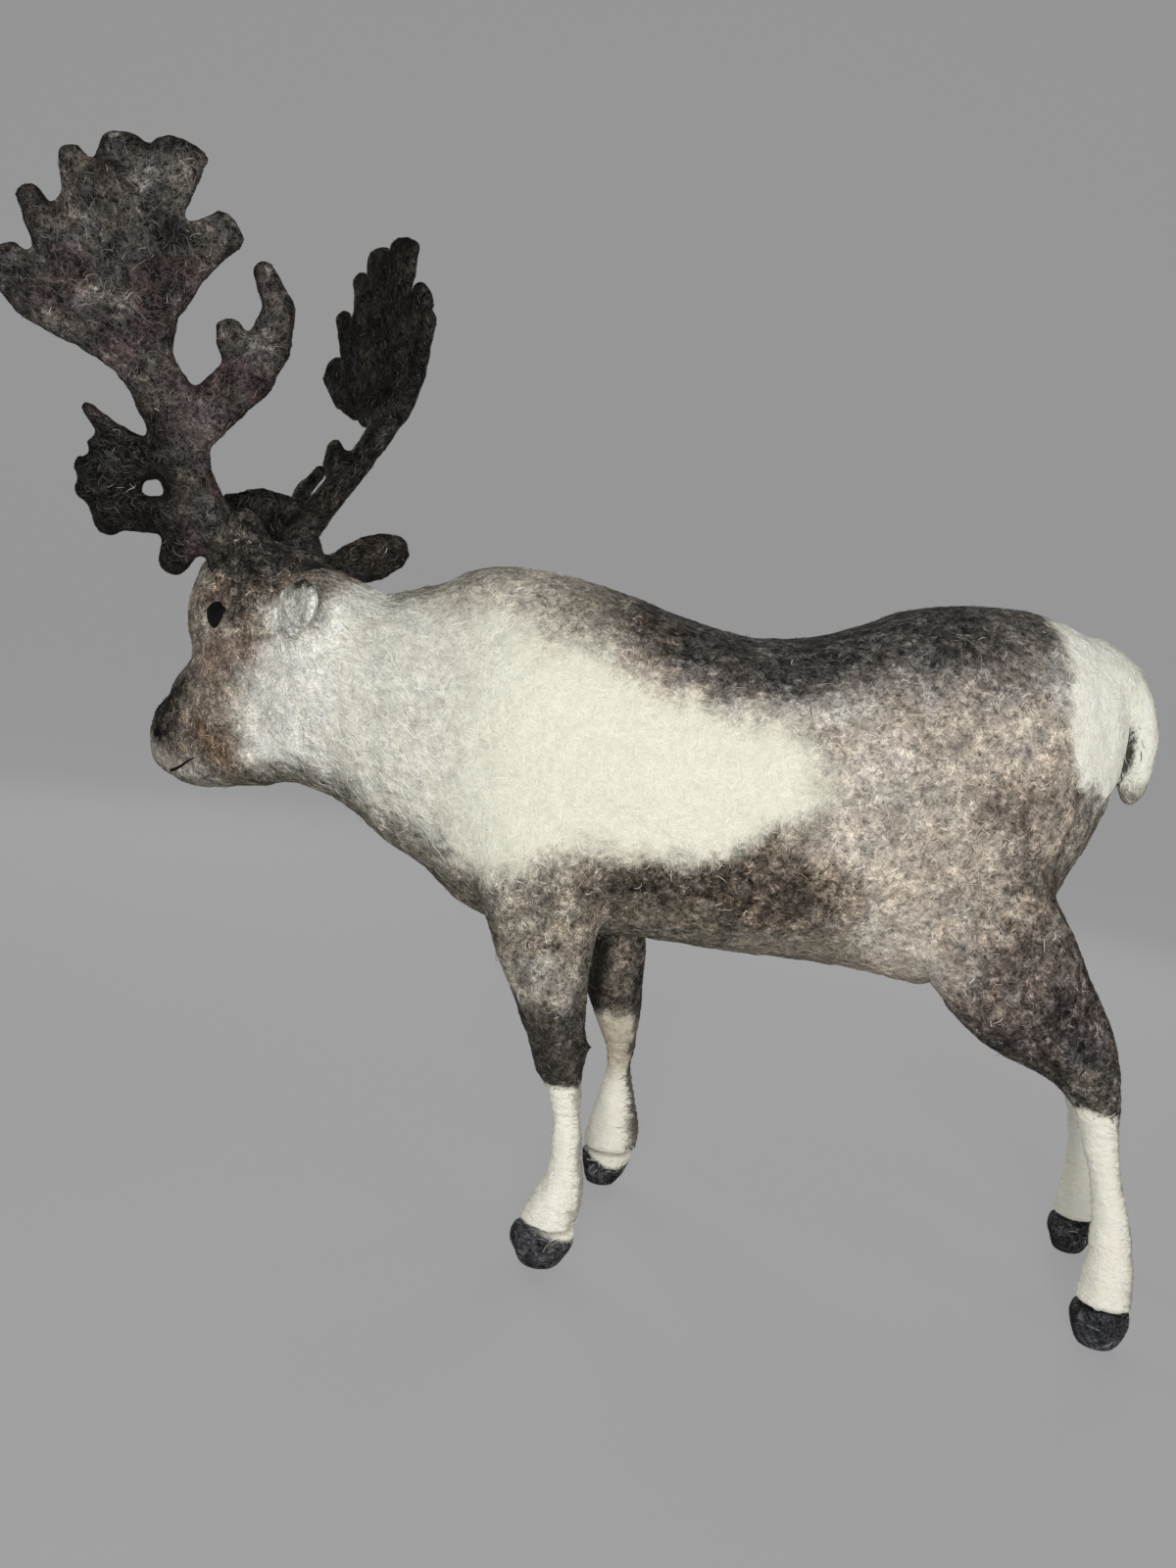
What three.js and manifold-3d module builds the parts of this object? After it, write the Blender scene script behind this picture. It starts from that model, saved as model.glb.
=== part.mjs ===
// A needle-felted reindeer figure: wool body on four wrapped legs, flat palmate antlers, bead eyes.
// Millimetres, +Z up. It stands with its muzzle to -X and its left flank to -Y, head turned to its right.
import * as THREE from 'three';
import { ParametricGeometry } from 'three/addons/geometries/ParametricGeometry.js';
import { mergeVertices } from 'three/addons/utils/BufferGeometryUtils.js';
import Module from 'manifold-3d';

const wasm = await Module();
wasm.setup();

// Driving dimensions
const GAP = 0.3;
const HEAD_PIVOT = new THREE.Vector3(-72, 0, 122);
const HEAD_TURN = THREE.MathUtils.degToRad(32);
const FOOT_SPREAD = 24.5;
const HOOF_HEIGHT = 9.4;
const FRONT_CUFFS = { left: 41.6, right: 40.1 };
const HIND_CUFF = 51;
const ELBOW_CUT = 70;
const EYE = { s: 16.2, lateral: 11.5, z: 133.5, radii: [2.5, 2.2, 3] };
const NOSTRIL = { s: 38, lateral: 7.2, z: 102.8, radii: [1.2, 1, 1.4] };
// Loft settings
const WELD = 1e-4;
const LONGEST_CAP = 0.45;
const TORSO_LOFT = { sides: 22, step: 9, square: 2.15, capRings: 3, upright: true, caps: [8, 9] };
const NECK_LOFT = { ...TORSO_LOFT, sides: 20, caps: [6, 8] };
const LEG = { sides: 14, step: 6, square: 2, capRings: 2 };
const TINE = { sides: 8, step: 8, square: 2.2, capRings: 2 };

const across = new THREE.Vector3(0, 1, 0);
const forward = new THREE.Vector3(1, 0, 0);

// A closed three.js geometry as an exact solid
function toSolid(geometry) {
  geometry.deleteAttribute('normal');
  geometry.deleteAttribute('uv');
  const welded = mergeVertices(geometry, WELD);
  const corners = welded.index.array;
  const triangles = [];
  for (let i = 0; i < corners.length; i += 3) {
    const [a, b, c] = [corners[i], corners[i + 1], corners[i + 2]];
    if (a !== b && b !== c && c !== a) triangles.push(a, b, c);
  }
  return new wasm.Manifold(new wasm.Mesh({
    numProp: 3,
    vertProperties: Float32Array.from(welded.attributes.position.array),
    triVerts: Uint32Array.from(triangles),
  }));
}

function toGeometry(solid) {
  const mesh = solid.getMesh();
  const geometry = new THREE.BufferGeometry();
  geometry.setAttribute('position', new THREE.BufferAttribute(mesh.vertProperties, 3));
  geometry.setIndex(new THREE.BufferAttribute(mesh.triVerts, 1));
  geometry.computeVertexNormals();
  return geometry;
}

function join(solids) {
  return wasm.Manifold.union(solids);
}

function largest(solid) {
  return solid.decompose().reduce((best, piece) => (piece.volume() > best.volume() ? piece : best));
}

function rounded(value, square) {
  return Math.sign(value) * Math.abs(value) ** (2 / square);
}

// A closed skin round a smooth path with domed ends, from stations [x, y, z, half across `side`, half the
// other way]. Upright keeps its rings square to X, and grow makes it that much larger all round.
function loft(stations, options) {
  const { side = across, upright = false, sides, step, square, capRings = 2, grow = 0, caps = [] } = options;
  const places = stations.map(([x, y, z]) => new THREE.Vector3(x, y, z));
  const path = new THREE.CatmullRomCurve3(places, false, 'catmullrom');
  const girth = new THREE.SplineCurve(stations.map((row) => new THREE.Vector2(row[3] + grow, row[4] + grow)));
  const length = path.getLength();
  const ends = [stations[0], stations[stations.length - 1]];
  const [startCap, endCap] = ends.map((row, i) => (
    Math.min(caps[i] ?? Math.min(row[3], row[4]), length * LONGEST_CAP)
  ));
  const level = new THREE.Vector3(Math.sign(ends[1][0] - ends[0][0]), 0, 0);
  const rings = [];
  for (let i = 0; i < capRings; i++) {
    const angle = (i / capRings) * (Math.PI / 2);
    rings.push([startCap * (1 - Math.cos(angle)) - grow, Math.sin(angle)]);
  }
  const middle = length - startCap - endCap;
  const count = Math.max(2, Math.round(middle / step));
  for (let i = 0; i <= count; i++) rings.push([startCap + (middle * i) / count, 1]);
  for (let i = capRings - 1; i >= 0; i--) {
    const angle = (i / capRings) * (Math.PI / 2);
    rings.push([length - endCap * (1 - Math.cos(angle)) + grow, Math.sin(angle)]);
  }
  const skin = (u, v, target) => {
    const [distance, scale] = rings[Math.round(v * (rings.length - 1))];
    const inside = THREE.MathUtils.clamp(distance, 0, length);
    const t = path.getUtoTmapping(inside / length);
    const tangent = upright ? level : path.getTangent(t);
    const radii = girth.getPoint(t);
    const first = side.clone().addScaledVector(tangent, -side.dot(tangent)).normalize();
    const second = tangent.clone().cross(first);
    const angle = (u % 1) * 2 * Math.PI;
    target.copy(path.getPoint(t));
    target.addScaledVector(tangent, distance - inside);
    target.addScaledVector(first, radii.x * scale * rounded(Math.cos(angle), square));
    target.addScaledVector(second, radii.y * scale * rounded(Math.sin(angle), square));
  };
  return toSolid(new ParametricGeometry(skin, sides, rings.length - 1));
}

function ellipsoid([rx, ry, rz], matrix, detail = 14) {
  const geometry = new THREE.SphereGeometry(1, detail, Math.round(detail * 0.6));
  geometry.scale(rx, ry, rz);
  geometry.applyMatrix4(matrix);
  return toSolid(geometry);
}

// A thin saw cut: a plate of the gap's thickness, lying flat until it is tilted about Y, then turned about Z
function saw({ at, size, tilt = 0, turn = 0 }) {
  const geometry = new THREE.BoxGeometry(size[0], size[1], GAP);
  geometry.rotateY(THREE.MathUtils.degToRad(tilt));
  geometry.rotateZ(THREE.MathUtils.degToRad(turn));
  geometry.translate(...at);
  return toSolid(geometry);
}

// Torso: chest to rump along X
const TORSO = [
  [-45, 0, 119, 15, 26],
  [-36, 0, 116.9, 19, 35.3],
  [-24, 0, 114, 23.5, 41],
  [-10, 0, 113, 26.5, 41.4],
  [6, 0, 111.5, 27.5, 40.2],
  [22, 0, 110.1, 28.5, 37.4],
  [38, 0, 109.4, 30, 37.1],
  [54, 0, 111.9, 31, 39.3],
  [70, 0, 115.6, 30.5, 43.3],
  [86, 0, 116.3, 29, 45.4],
  [99, 0, 120.2, 26, 40.9],
  [108, 0, 124.6, 20.5, 34],
  [115, 0, 130.4, 14.5, 26.2],
  [120, 0, 134.4, 10, 19],
  [124, 0, 136.2, 5, 11],
];

// Neck: withers and chest to the poll and throat
const NECK = [
  [-22, 0, 117, 20, 33],
  [-34, 0, 116, 20.5, 34],
  [-44, 0, 116.2, 19.2, 31.2],
  [-51, 0, 116.6, 18, 26.8],
  [-58, 0, 120.3, 17, 25.2],
  [-67, 0, 122.7, 15.5, 26.5],
  [-77, 3, 124.4, 13.5, 26.9],
];

// Head, in its own frame: -X to the muzzle, -Y to its left, heights from the floor
const SKULL = [
  [-18, 0, 95, 17, 7],
  [-21, 0, 101, 20, 10],
  [-20.5, 0, 107, 20.6, 11.2],
  [-16.8, 0, 113, 18.6, 12],
  [-13.2, 0, 120, 16.6, 12.4],
  [-13, 0, 127, 18.2, 12.8],
  [-14.2, 0, 133, 20.2, 13],
  [-13, 0, 139, 20, 12.8],
  [-9.4, 0, 146, 16.2, 11],
  [-7, 0, 152, 11.4, 8],
];
const MUZZLE = [
  [-12, 0, 109.5, 10, 12],
  [-22, 0, 106, 9.5, 11],
  [-31, 0, 103.2, 8.8, 10.8],
  [-38, 0, 102.2, 7.8, 11],
  [-46.4, 0, 101.9, 5.2, 9.8],
];
const CHIN = [
  [4, 0, 106, 12, 11],
  [-8, 0, 103.6, 10.4, 9.4],
  [-20, 0, 99.8, 8.5, 7.8],
  [-30, 0, 96.8, 7.4, 6.6],
  [-39, 0, 95, 5.4, 4.8],
];
const BROW = { s: 20.6, lateral: 6.4, z: 136.2, radii: [10.6, 6.4, 6] };
const EARS = {
  left: { base: [-3, 9, 139], tip: [-24, 19, 138], facing: [-0.41, -0.91, 0] },
  right: { base: [5, 10, 147], tip: [-8.3, 25.2, 157.8], facing: [-0.75, 0.55, 0.1] },
};
const EAR_HALF_WIDTHS = [3.8, 6, 6.6, 4.2];
const EAR_HALF_THICKNESSES = [2.4, 2.2, 2, 1.6];
const MOUTH_RADIUS = 0.5;
const MOUTH_CURVE = [[-25, 97.7], [-28, 96.4], [-32, 94.8], [-37, 93.6], [-46, 93]];
const MOUTH_DEPTH = 1.1;
const MOUTH_PROUD = 0.25;
const MOUTH_REACH = 40;
const MOUTH_PIVOT = [-39, 0, 94];

// Legs from hip or shoulder to sole, as [x, y, z, half across Y, half along X], y for the left side
const LEGS = {
  front_left: [
    [-8, -13, 104, 10, 18],
    [-7, -16, 88, 11, 16],
    [-4.9, -18.5, 74, 9.5, 12.5],
    [-2.1, -20.5, 63, 8, 9],
    [0.9, -22, 53, 6.6, 6.8],
    [2.8, -22.8, 46, 5.7, 5.8],
    [4.6, -23, 41.5, 3.9, 4],
    [6, -23.2, 34.6, 2.8, 3.1],
    [7.3, -23.5, 25.7, 3.4, 3.7],
    [7.2, -23.7, 17.6, 4.6, 5.1],
    [5, -23.8, 9.4, 5.4, 6.9],
    [4, -23.8, 5, 5.4, 7.1],
    [4.4, -23.8, -1, 3, 3.8],
  ],
  front_right: [
    [4, 13, 104, 10, 18],
    [6, 16, 88, 11, 15],
    [9.5, 18.5, 72, 9, 11],
    [13.4, 21, 59, 7, 8.4],
    [16, 22.3, 47, 5.8, 6.5],
    [18.2, 23.2, 39, 4.1, 4.3],
    [18.9, 23.8, 31, 3.1, 3.2],
    [19.2, 24.2, 22.5, 5, 5.6],
    [19.6, 24.5, 14.5, 6, 7.2],
    [19, 24.5, 8.4, 5.6, 6.8],
    [18, 24.5, 4.6, 4.9, 5.6],
    [18, 24.5, -1, 2.8, 3.4],
  ],
  hind_left: [
    [82, -12, 124, 12, 20],
    [88.4, -15.5, 98, 12.5, 16.8],
    [101, -18.5, 78.5, 10.8, 16.2],
    [116.8, -20.6, 64.6, 7.8, 9.3],
    [122.4, -22, 54, 5.2, 5.2],
    [124.4, -22.5, 46, 3.6, 3.9],
    [126.6, -23, 38.7, 3.3, 3.6],
    [129.4, -23.4, 28, 3.8, 4],
    [131, -23.7, 17, 4.8, 5.6],
    [131, -23.8, 9.4, 5.4, 6.4],
    [130.6, -23.8, 5, 5.3, 6.4],
    [131, -23.8, -1, 3, 3.8],
  ],
  hind_right: [
    [86, 12, 124, 12, 20],
    [97, 15.5, 98, 12.5, 17],
    [108, 18.5, 79, 10.5, 13.6],
    [122, 21, 65, 7.6, 9],
    [131.5, 22.5, 54, 5.2, 5.4],
    [136.9, 23, 46, 3.7, 3.7],
    [140.6, 23.5, 36.5, 3.5, 3.5],
    [143.4, 24, 24, 4.1, 4.2],
    [144.2, 24.4, 14, 5, 5.6],
    [143.8, 24.5, 8.4, 5.2, 6],
    [143.4, 24.5, 4.6, 4.8, 5.6],
    [143.8, 24.5, -1, 2.8, 3.4],
  ],
};

// Tail: from the top of the rump, over and down
const TAIL = [
  [102, 0, 151.6, 8, 6],
  [111.6, 0, 151.6, 8.5, 6.5],
  [120, 0, 146.8, 7.5, 6.1],
  [125.8, 0, 138, 6, 4.8],
  [127.6, 0, 129, 4.8, 3.4],
  [126.8, 0, 119.6, 3.6, 2.5],
];

// Antler forms in the antler's own plane, as [u forward and outward, w up, m proud of the plane,
// half across the plane, half its thickness]
const ANTLER = {
  beam: [
    [[0, -8, 0, 4.6, 4.6], [1.5, 4, 0, 4.6, 4.4], [8.4, 13, 0.3, 6.2, 4], [12.8, 22, 0.6, 6.2, 3.6],
      [13.6, 30, 0.8, 7.7, 3.2], [20.2, 39, 0.6, 6.4, 2.9], [26, 48, 0.3, 9, 2.7]],
  ],
  palm: [
    [[22.6, 42, 0.4, 5.8, 2.8], [29, 49.5, 0.2, 13, 2.8], [31.4, 60, 0, 16, 2.8], [28.6, 72, 0, 10.6, 2.6],
      [27, 80.6, 0, 7.6, 2.2]],
    [[34, 47.5, 0, 6.5, 2.6], [44, 50.8, 0.6, 6.4, 2.4], [53.6, 58.2, 1.6, 4.9, 2]],
    [[36, 55, 0, 5, 2.5], [44, 64.5, 0.4, 3.7, 2.2], [47.8, 72.4, 1, 2.8, 1.8]],
    [[32, 62, 0, 5, 2.5], [37, 73, 0.2, 3.8, 2.2], [39.8, 81.6, 0.6, 2.9, 1.8]],
    [[29, 66, 0, 7, 2.5], [29, 78, -0.4, 6.4, 2.2], [29.4, 86.6, -1, 4.8, 1.8]],
    [[25, 64, 0, 7, 2.5], [21.8, 76.6, -1, 6.6, 2.2], [18.2, 83.6, -1.6, 6.6, 2], [17.2, 87.8, -2, 5.2, 1.8]],
    [[21.6, 54, 0, 6.8, 2.5], [14.2, 65.8, -2, 5.7, 2.4], [5.2, 73.6, -4, 4.4, 2]],
    [[21, 44, 0.3, 5, 2.8], [20.6, 52, 0, 5.2, 2.7], [22, 60, 0, 5.4, 2.5]],
  ],
  back: [
    [[12, 27, 0.6, 5.4, 3], [5.6, 35.6, 0.2, 5.8, 2.8], [-1.8, 45, -0.8, 5.8, 2.6], [-5, 54, -2, 4.8, 2.4],
      [-4.4, 61, -2.6, 3.6, 2.2], [0.4, 66.8, -2.8, 2.6, 1.8]],
    [[-0.5, 43, -0.6, 4.4, 2.5], [3.6, 49, 0, 4, 2.2], [5.8, 54.2, 0.6, 2.8, 1.8]],
  ],
  bez: [
    [[8, 21.4, 0.4, 3.8, 3], [17, 20.6, 1.2, 3.6, 2.8], [24, 19.6, 1.6, 4.6, 2.6]],
    [[23, 20, 1.6, 5.4, 2.4], [27, 13.5, 1.8, 6.4, 2.5], [27, 6.4, 1.4, 4.4, 2.3], [25.6, 2.2, 1.2, 3, 2]],
    [[21, 21.6, 1.6, 4.2, 2.2], [27.4, 25.2, 2.4, 2.9, 1.9], [33.8, 30.8, 3.2, 1.4, 1.5]],
    [[26, 18, 1.6, 3, 2.2], [32.2, 23.6, 2.6, 1.8, 1.6]],
    [[27, 15, 1.6, 3, 2.2], [35, 17.8, 2.8, 2.2, 1.6]],
    [[27, 11.6, 1.6, 4, 2.4], [34.8, 12.4, 2.6, 2.6, 1.8]],
    [[26, 7.6, 1.5, 4.4, 2.4], [19, 8.6, 2.2, 4.4, 3.2], [11, 9.6, 1.6, 4.4, 3.4], [6, 11, 0.4, 3.6, 3]],
  ],
  brow: [
    [[5, 8, 0.4, 4, 3.2], [11, 3, 1.4, 4.8, 2.8], [13, -4.6, 2, 3.2, 2.2]],
  ],
};
// The right antler has a beam, a back tine and a bez tine of its own, and the same palm
const RIGHT_ANTLER = {
  ...ANTLER,
  beam: [
    [[1, -8, 0, 4.6, 4.6], [3, 3, 0, 4.4, 4.4], [8.6, 12.8, 0, 4.6, 4], [9.6, 19, 0, 4.4, 3.6],
      [10.4, 25.5, 0, 4.4, 3.4], [11, 31.4, 0, 4.6, 3.2], [13.8, 37.4, 0, 5, 3], [21, 44, 0, 6.5, 2.8]],
    [[9.6, 25, -2, 3, 2.4], [14.8, 29.8, -5, 4.9, 2.2], [19.6, 34, -6.4, 3, 1.8]],
  ],
  back: [
    [[9, 30, 0, 4, 3], [10, 38.3, -1.6, 4.4, 2.8], [8.4, 46, -3.6, 4.6, 2.6], [4.8, 52.5, -4, 4.4, 2.4],
      [1.2, 59.3, -4.5, 3.8, 2.2], [-1.9, 67.6, -4.5, 2.8, 1.8]],
  ],
  bez: [
    [[8.6, 12.4, 0, 5.5, 3.4], [15.3, 14.2, -4.4, 6.8, 2.6], [19.2, 14.6, -9.5, 7, 2.4],
      [23.4, 15, -13.5, 4.6, 2.2], [28.3, 18.1, -19, 2.4, 1.8]],
    [[14, 16, -3, 4.4, 2.4], [21, 20, -2.4, 4, 2.2], [23.4, 23.6, -2, 2.8, 2], [22.4, 28.4, -2, 1.7, 1.6]],
  ],
};
const SAW_DEPTH = 34;
const ANTLER_CUTS = {
  palm: { at: [22.5, 43.2], length: 26, tilt: 40, label: [31, 64] },
  back: { at: [4.2, 37.4], length: 17, tilt: -42, label: [-2, 52] },
  bez: { at: [17, 15], length: 27, tilt: -71.6, label: [28, 13] },
  brow: { at: [10, 2], length: 13, tilt: -20, label: [12, -2] },
};
const RIGHT_CUTS = {
  ...ANTLER_CUTS,
  palm: { at: [22.5, 43.2], length: 22, tilt: 40, label: [31, 64] },
  back: { at: [8.6, 42], length: 15, tilt: -42, label: [4, 54] },
  bez: { at: [14.5, 15], length: 28, tilt: -90, label: [22, 17] },
};

const SWEEP_HEIGHT = 47;
const ANTLERS = {
  left: {
    forms: ANTLER,
    cuts: ANTLER_CUTS,
    folds: {},
    base: [18, 8, 146],
    outward: 45,
    lean: 13,
    rake: 0,
    scale: 1,
    side: 1,
    sweep: [0, 0],
  },
  right: {
    forms: RIGHT_ANTLER,
    cuts: RIGHT_CUTS,
    folds: { palm: { degrees: -8, line: 28 } },
    base: [18, 8, 146],
    outward: 16.4,
    lean: -6.3,
    rake: 1.6,
    scale: 0.99,
    side: -1,
    sweep: [-13.7, 34.3],
  },
};

const headFrame = new THREE.Matrix4()
  .makeRotationZ(-HEAD_TURN)
  .setPosition(HEAD_PIVOT.x, HEAD_PIVOT.y, 0);

function headPoint([s, lateral, z], side = 1) {
  return new THREE.Vector3(-s, -lateral * side, z);
}

// Flesh of the head, one surface, in the head's frame
function headFlesh(grow = 0) {
  const brows = [1, -1].map((side) => {
    const place = new THREE.Matrix4().setPosition(headPoint([BROW.s, BROW.lateral, BROW.z], side));
    return ellipsoid(BROW.radii.map((radius) => radius + grow), place, 12);
  });
  return join([
    loft(SKULL, { side: forward, sides: 18, step: 7, square: 2.3, capRings: 3, grow }),
    loft(MUZZLE, { sides: 16, step: 7, square: 2.2, capRings: 3, grow, caps: [null, 4.6] }),
    loft(CHIN, { sides: 14, step: 6, square: 2.1, grow }),
    ...brows,
  ]);
}

// A felted ear: a thick leaf with a shallow cup on the side that faces forward
function ear({ base, tip, facing }, side) {
  const [root, end] = [headPoint(base, side), headPoint(tip, side)];
  const front = new THREE.Vector3(...facing).normalize();
  const stations = EAR_HALF_WIDTHS.map((half, i) => {
    const at = root.clone().lerp(end, i / (EAR_HALF_WIDTHS.length - 1));
    return [at.x, at.y, at.z, EAR_HALF_THICKNESSES[i], half];
  });
  const hollow = stations.slice(1).map(([x, y, z, thick, half], i) => {
    const at = new THREE.Vector3(x, y, z).addScaledVector(front, 2);
    return [at.x, at.y, at.z, thick * 0.8, half * (0.55 - 0.08 * i)];
  });
  const leaf = loft(stations, { side: front, sides: 12, step: 5, square: 2, caps: [1, 4] });
  const cup = loft(hollow, { side: front, sides: 8, step: 5, square: 2, caps: [3, 3] });
  return leaf.subtract(cup);
}

function eye(side, grow = 0) {
  const place = new THREE.Matrix4().setPosition(headPoint([EYE.s, EYE.lateral, EYE.z], side));
  return ellipsoid(EYE.radii.map((radius) => radius + grow), place, 14);
}

function nostril(side, grow = 0) {
  const place = new THREE.Matrix4().setPosition(headPoint([NOSTRIL.s, NOSTRIL.lateral, NOSTRIL.z], side));
  return ellipsoid(NOSTRIL.radii.map((radius) => radius + grow), place, 8);
}

// The mouth: a thin strand let into the skin of the muzzle, from one corner round the front to the other
function mouthLine(grow = 0) {
  const line = new THREE.SplineCurve(MOUTH_CURVE.map(([x, z]) => new THREE.Vector2(x, z))).getPoints(9);
  const half = MOUTH_RADIUS + grow;
  const upper = line.map(({ x, y }) => [x, y + half]);
  const lower = line.map(({ x, y }) => [x, y - half]).reverse();
  const strip = new THREE.Shape([...upper, ...lower].map(([x, y]) => new THREE.Vector2(x, y)));
  const plate = new THREE.ExtrudeGeometry(strip, { depth: MOUTH_REACH, bevelEnabled: false });
  plate.rotateX(Math.PI / 2).translate(0, MOUTH_REACH / 2, 0);
  const shell = headFlesh(MOUTH_PROUD + grow).subtract(headFlesh(-MOUTH_DEPTH - grow));
  return largest(shell.intersect(toSolid(plate)));
}

// A point of an antler in its own frame, where X is u, Z is w, and Y is proud of the plane on the left side.
// The antler sweeps away from its plane as it rises, and a piece may be folded about an upright line.
function antlerPoint([u, w, m], { side, scale, sweep }, { degrees = 0, line = 0 } = {}) {
  const turn = THREE.MathUtils.degToRad(degrees);
  const reach = u - line;
  const rise = THREE.MathUtils.clamp(w / SWEEP_HEIGHT, 0, 1);
  const along = line + reach * Math.cos(turn) + sweep[0] * rise;
  const proud = m + reach * Math.sin(turn) + sweep[1] * rise;
  return [along * scale, proud * side * scale, w * scale];
}

function antlerForm(stations, spec, fold = {}) {
  const turn = THREE.MathUtils.degToRad(fold.degrees ?? 0);
  const side = new THREE.Vector3(-Math.sin(turn), Math.cos(turn) * spec.side, 0);
  const rows = stations.map(([u, w, m, half, thick]) => [...antlerPoint([u, w, m], spec, fold), thick, half]);
  return loft(rows, { ...TINE, side });
}

function antlerFrame({ base, outward, lean, rake, side }) {
  const turn = Math.PI + THREE.MathUtils.degToRad(outward) * side;
  const tip = -THREE.MathUtils.degToRad(lean) * side;
  const back = -THREE.MathUtils.degToRad(rake);
  const frame = new THREE.Matrix4().makeRotationFromEuler(new THREE.Euler(tip, back, turn, 'ZXY'));
  return frame.setPosition(headPoint(base, side));
}

function nearestLabel(piece, labels) {
  const box = piece.boundingBox();
  const centre = [0, 1, 2].map((i) => (box.min[i] + box.max[i]) / 2);
  const gap = (at) => Math.hypot(...at.map((value, i) => value - centre[i]));
  return Object.keys(labels).reduce((best, name) => (gap(labels[name]) < gap(labels[best]) ? name : best));
}

// Saws a solid apart and names each piece by the label nearest to its middle, keeping the largest of a name
function partWith(solid, saws, labels) {
  const pieces = {};
  for (const piece of solid.subtract(join(saws)).decompose()) {
    const name = nearestLabel(piece, labels);
    if (!pieces[name] || piece.volume() > pieces[name].volume()) pieces[name] = piece;
  }
  return pieces;
}

function antlerPieces(spec, blocked) {
  const inPlane = ([u, w]) => antlerPoint([u, w, 0], spec);
  const whole = join(Object.entries(spec.forms).flatMap(([piece, tines]) => (
    tines.map((stations) => antlerForm(stations, spec, spec.folds[piece]))
  )));
  const cuts = Object.values(spec.cuts);
  const saws = cuts.map(({ at, length, tilt }) => saw({ at: inPlane(at), size: [length, SAW_DEPTH], tilt }));
  const labels = { beam: inPlane([9, 22]) };
  for (const [piece, { label }] of Object.entries(spec.cuts)) labels[piece] = inPlane(label);
  const inverse = antlerFrame(spec).invert();
  return partWith(whole.subtract(blocked.transform(inverse.elements)), saws, labels);
}

// Body and head as one skin
const frameElements = headFrame.elements;
const details = join([eye(1, GAP), eye(-1, GAP), nostril(1, GAP), nostril(-1, GAP), mouthLine(GAP)]);
const skin = join([
  loft(TORSO, TORSO_LOFT),
  loft(NECK, NECK_LOFT),
  ...Object.values(LEGS).map((stations) => loft(stations, { ...LEG, caps: [8, 1] })),
  headFlesh().transform(frameElements),
]).subtract(details.transform(frameElements)).trimByPlane([0, 0, 1], 0);

const aroundTorso = loft(TORSO, { ...TORSO_LOFT, grow: GAP });
const tail = largest(loft(TAIL, { ...LEG, caps: [4, 3] }).subtract(aroundTorso));

const HAUNCH_CUT = { at: [98, 0, 88.5], tilt: -41 };
const THROUGH_BODY = 90;
const THROUGH_LEG = 22;
const BODY_CUTS = {
  neckFromTorso: { at: [-36, 0, 112], size: [120, THROUGH_BODY], tilt: 78 },
  headFromNeck: { at: [-69, 0, 122], size: [110, THROUGH_BODY], tilt: 86, turn: -24 },
  elbows: { at: [-6, 0, ELBOW_CUT], size: [66, THROUGH_BODY] },
  haunches: { ...HAUNCH_CUT, size: [84, THROUGH_BODY] },
  frontRightCuff: { at: [0, FOOT_SPREAD, FRONT_CUFFS.right], size: [60, THROUGH_LEG] },
  frontLeftCuff: { at: [0, -FOOT_SPREAD, FRONT_CUFFS.left], size: [60, THROUGH_LEG], tilt: 4 },
  hindLeftCuff: { at: [124, -FOOT_SPREAD, HIND_CUFF], size: [34, THROUGH_LEG], tilt: 12 },
  hindRightCuff: { at: [135, FOOT_SPREAD, HIND_CUFF], size: [34, THROUGH_LEG], tilt: 12 },
  hooves: { at: [60, 0, HOOF_HEIGHT], size: [240, THROUGH_BODY] },
};
const haunchSplit = new THREE.BoxGeometry(THROUGH_BODY, GAP, THROUGH_BODY)
  .translate(0, 0, -THROUGH_BODY / 2)
  .rotateY(THREE.MathUtils.degToRad(HAUNCH_CUT.tilt))
  .translate(...HAUNCH_CUT.at);
const LABELS = {
  torso: [45, 0, 115],
  neck: [-52, 0, 120],
  head: [-90, 10, 122],
  leg_front_left_upper: [0, -21, 56],
  leg_front_left_cannon: [5, -24, 25],
  leg_front_left_hoof: [5, -24.5, 4.5],
  leg_front_right_upper: [12, 21, 56],
  leg_front_right_cannon: [18.5, 24, 25],
  leg_front_right_hoof: [18, 24.5, 4.5],
  leg_hind_left_upper: [103, -15, 74],
  leg_hind_left_cannon: [129, -24, 30],
  leg_hind_left_hoof: [131, -24.5, 4.5],
  leg_hind_right_upper: [108, 15, 74],
  leg_hind_right_cannon: [141, 24, 30],
  leg_hind_right_hoof: [143.5, 24.5, 4.5],
};
const body = partWith(skin, [...Object.values(BODY_CUTS).map(saw), toSolid(haunchSplit)], LABELS);

// Materials
function wool(color) {
  return new THREE.MeshStandardMaterial({ color, roughness: 0.95, metalness: 0 });
}
const MATERIALS = {
  white: wool(0xdad8cc),
  heather: wool(0x7d716a),
  cream: wool(0xd9cfbd),
  charcoal: wool(0x3b3634),
  black: wool(0x1b1b1d),
  antler: wool(0x3a3230),
  bead: new THREE.MeshStandardMaterial({ color: 0x070707, roughness: 0.15, metalness: 0 }),
};

// Puts a solid into a group as a named mesh that turns about its own pivot
function place(group, name, solid, material, pivot) {
  const geometry = toGeometry(solid);
  geometry.translate(-pivot[0], -pivot[1], -pivot[2]);
  const mesh = new THREE.Mesh(geometry, MATERIALS[material]);
  mesh.name = name;
  mesh.position.set(...pivot);
  group.add(mesh);
}

// A leg's pieces, with their wool and the row of the leg's stations that each one turns about
const LEG_PIECES = [['upper', 'heather', 2], ['cannon', 'cream', 7], ['hoof', 'black', 10]];

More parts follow.
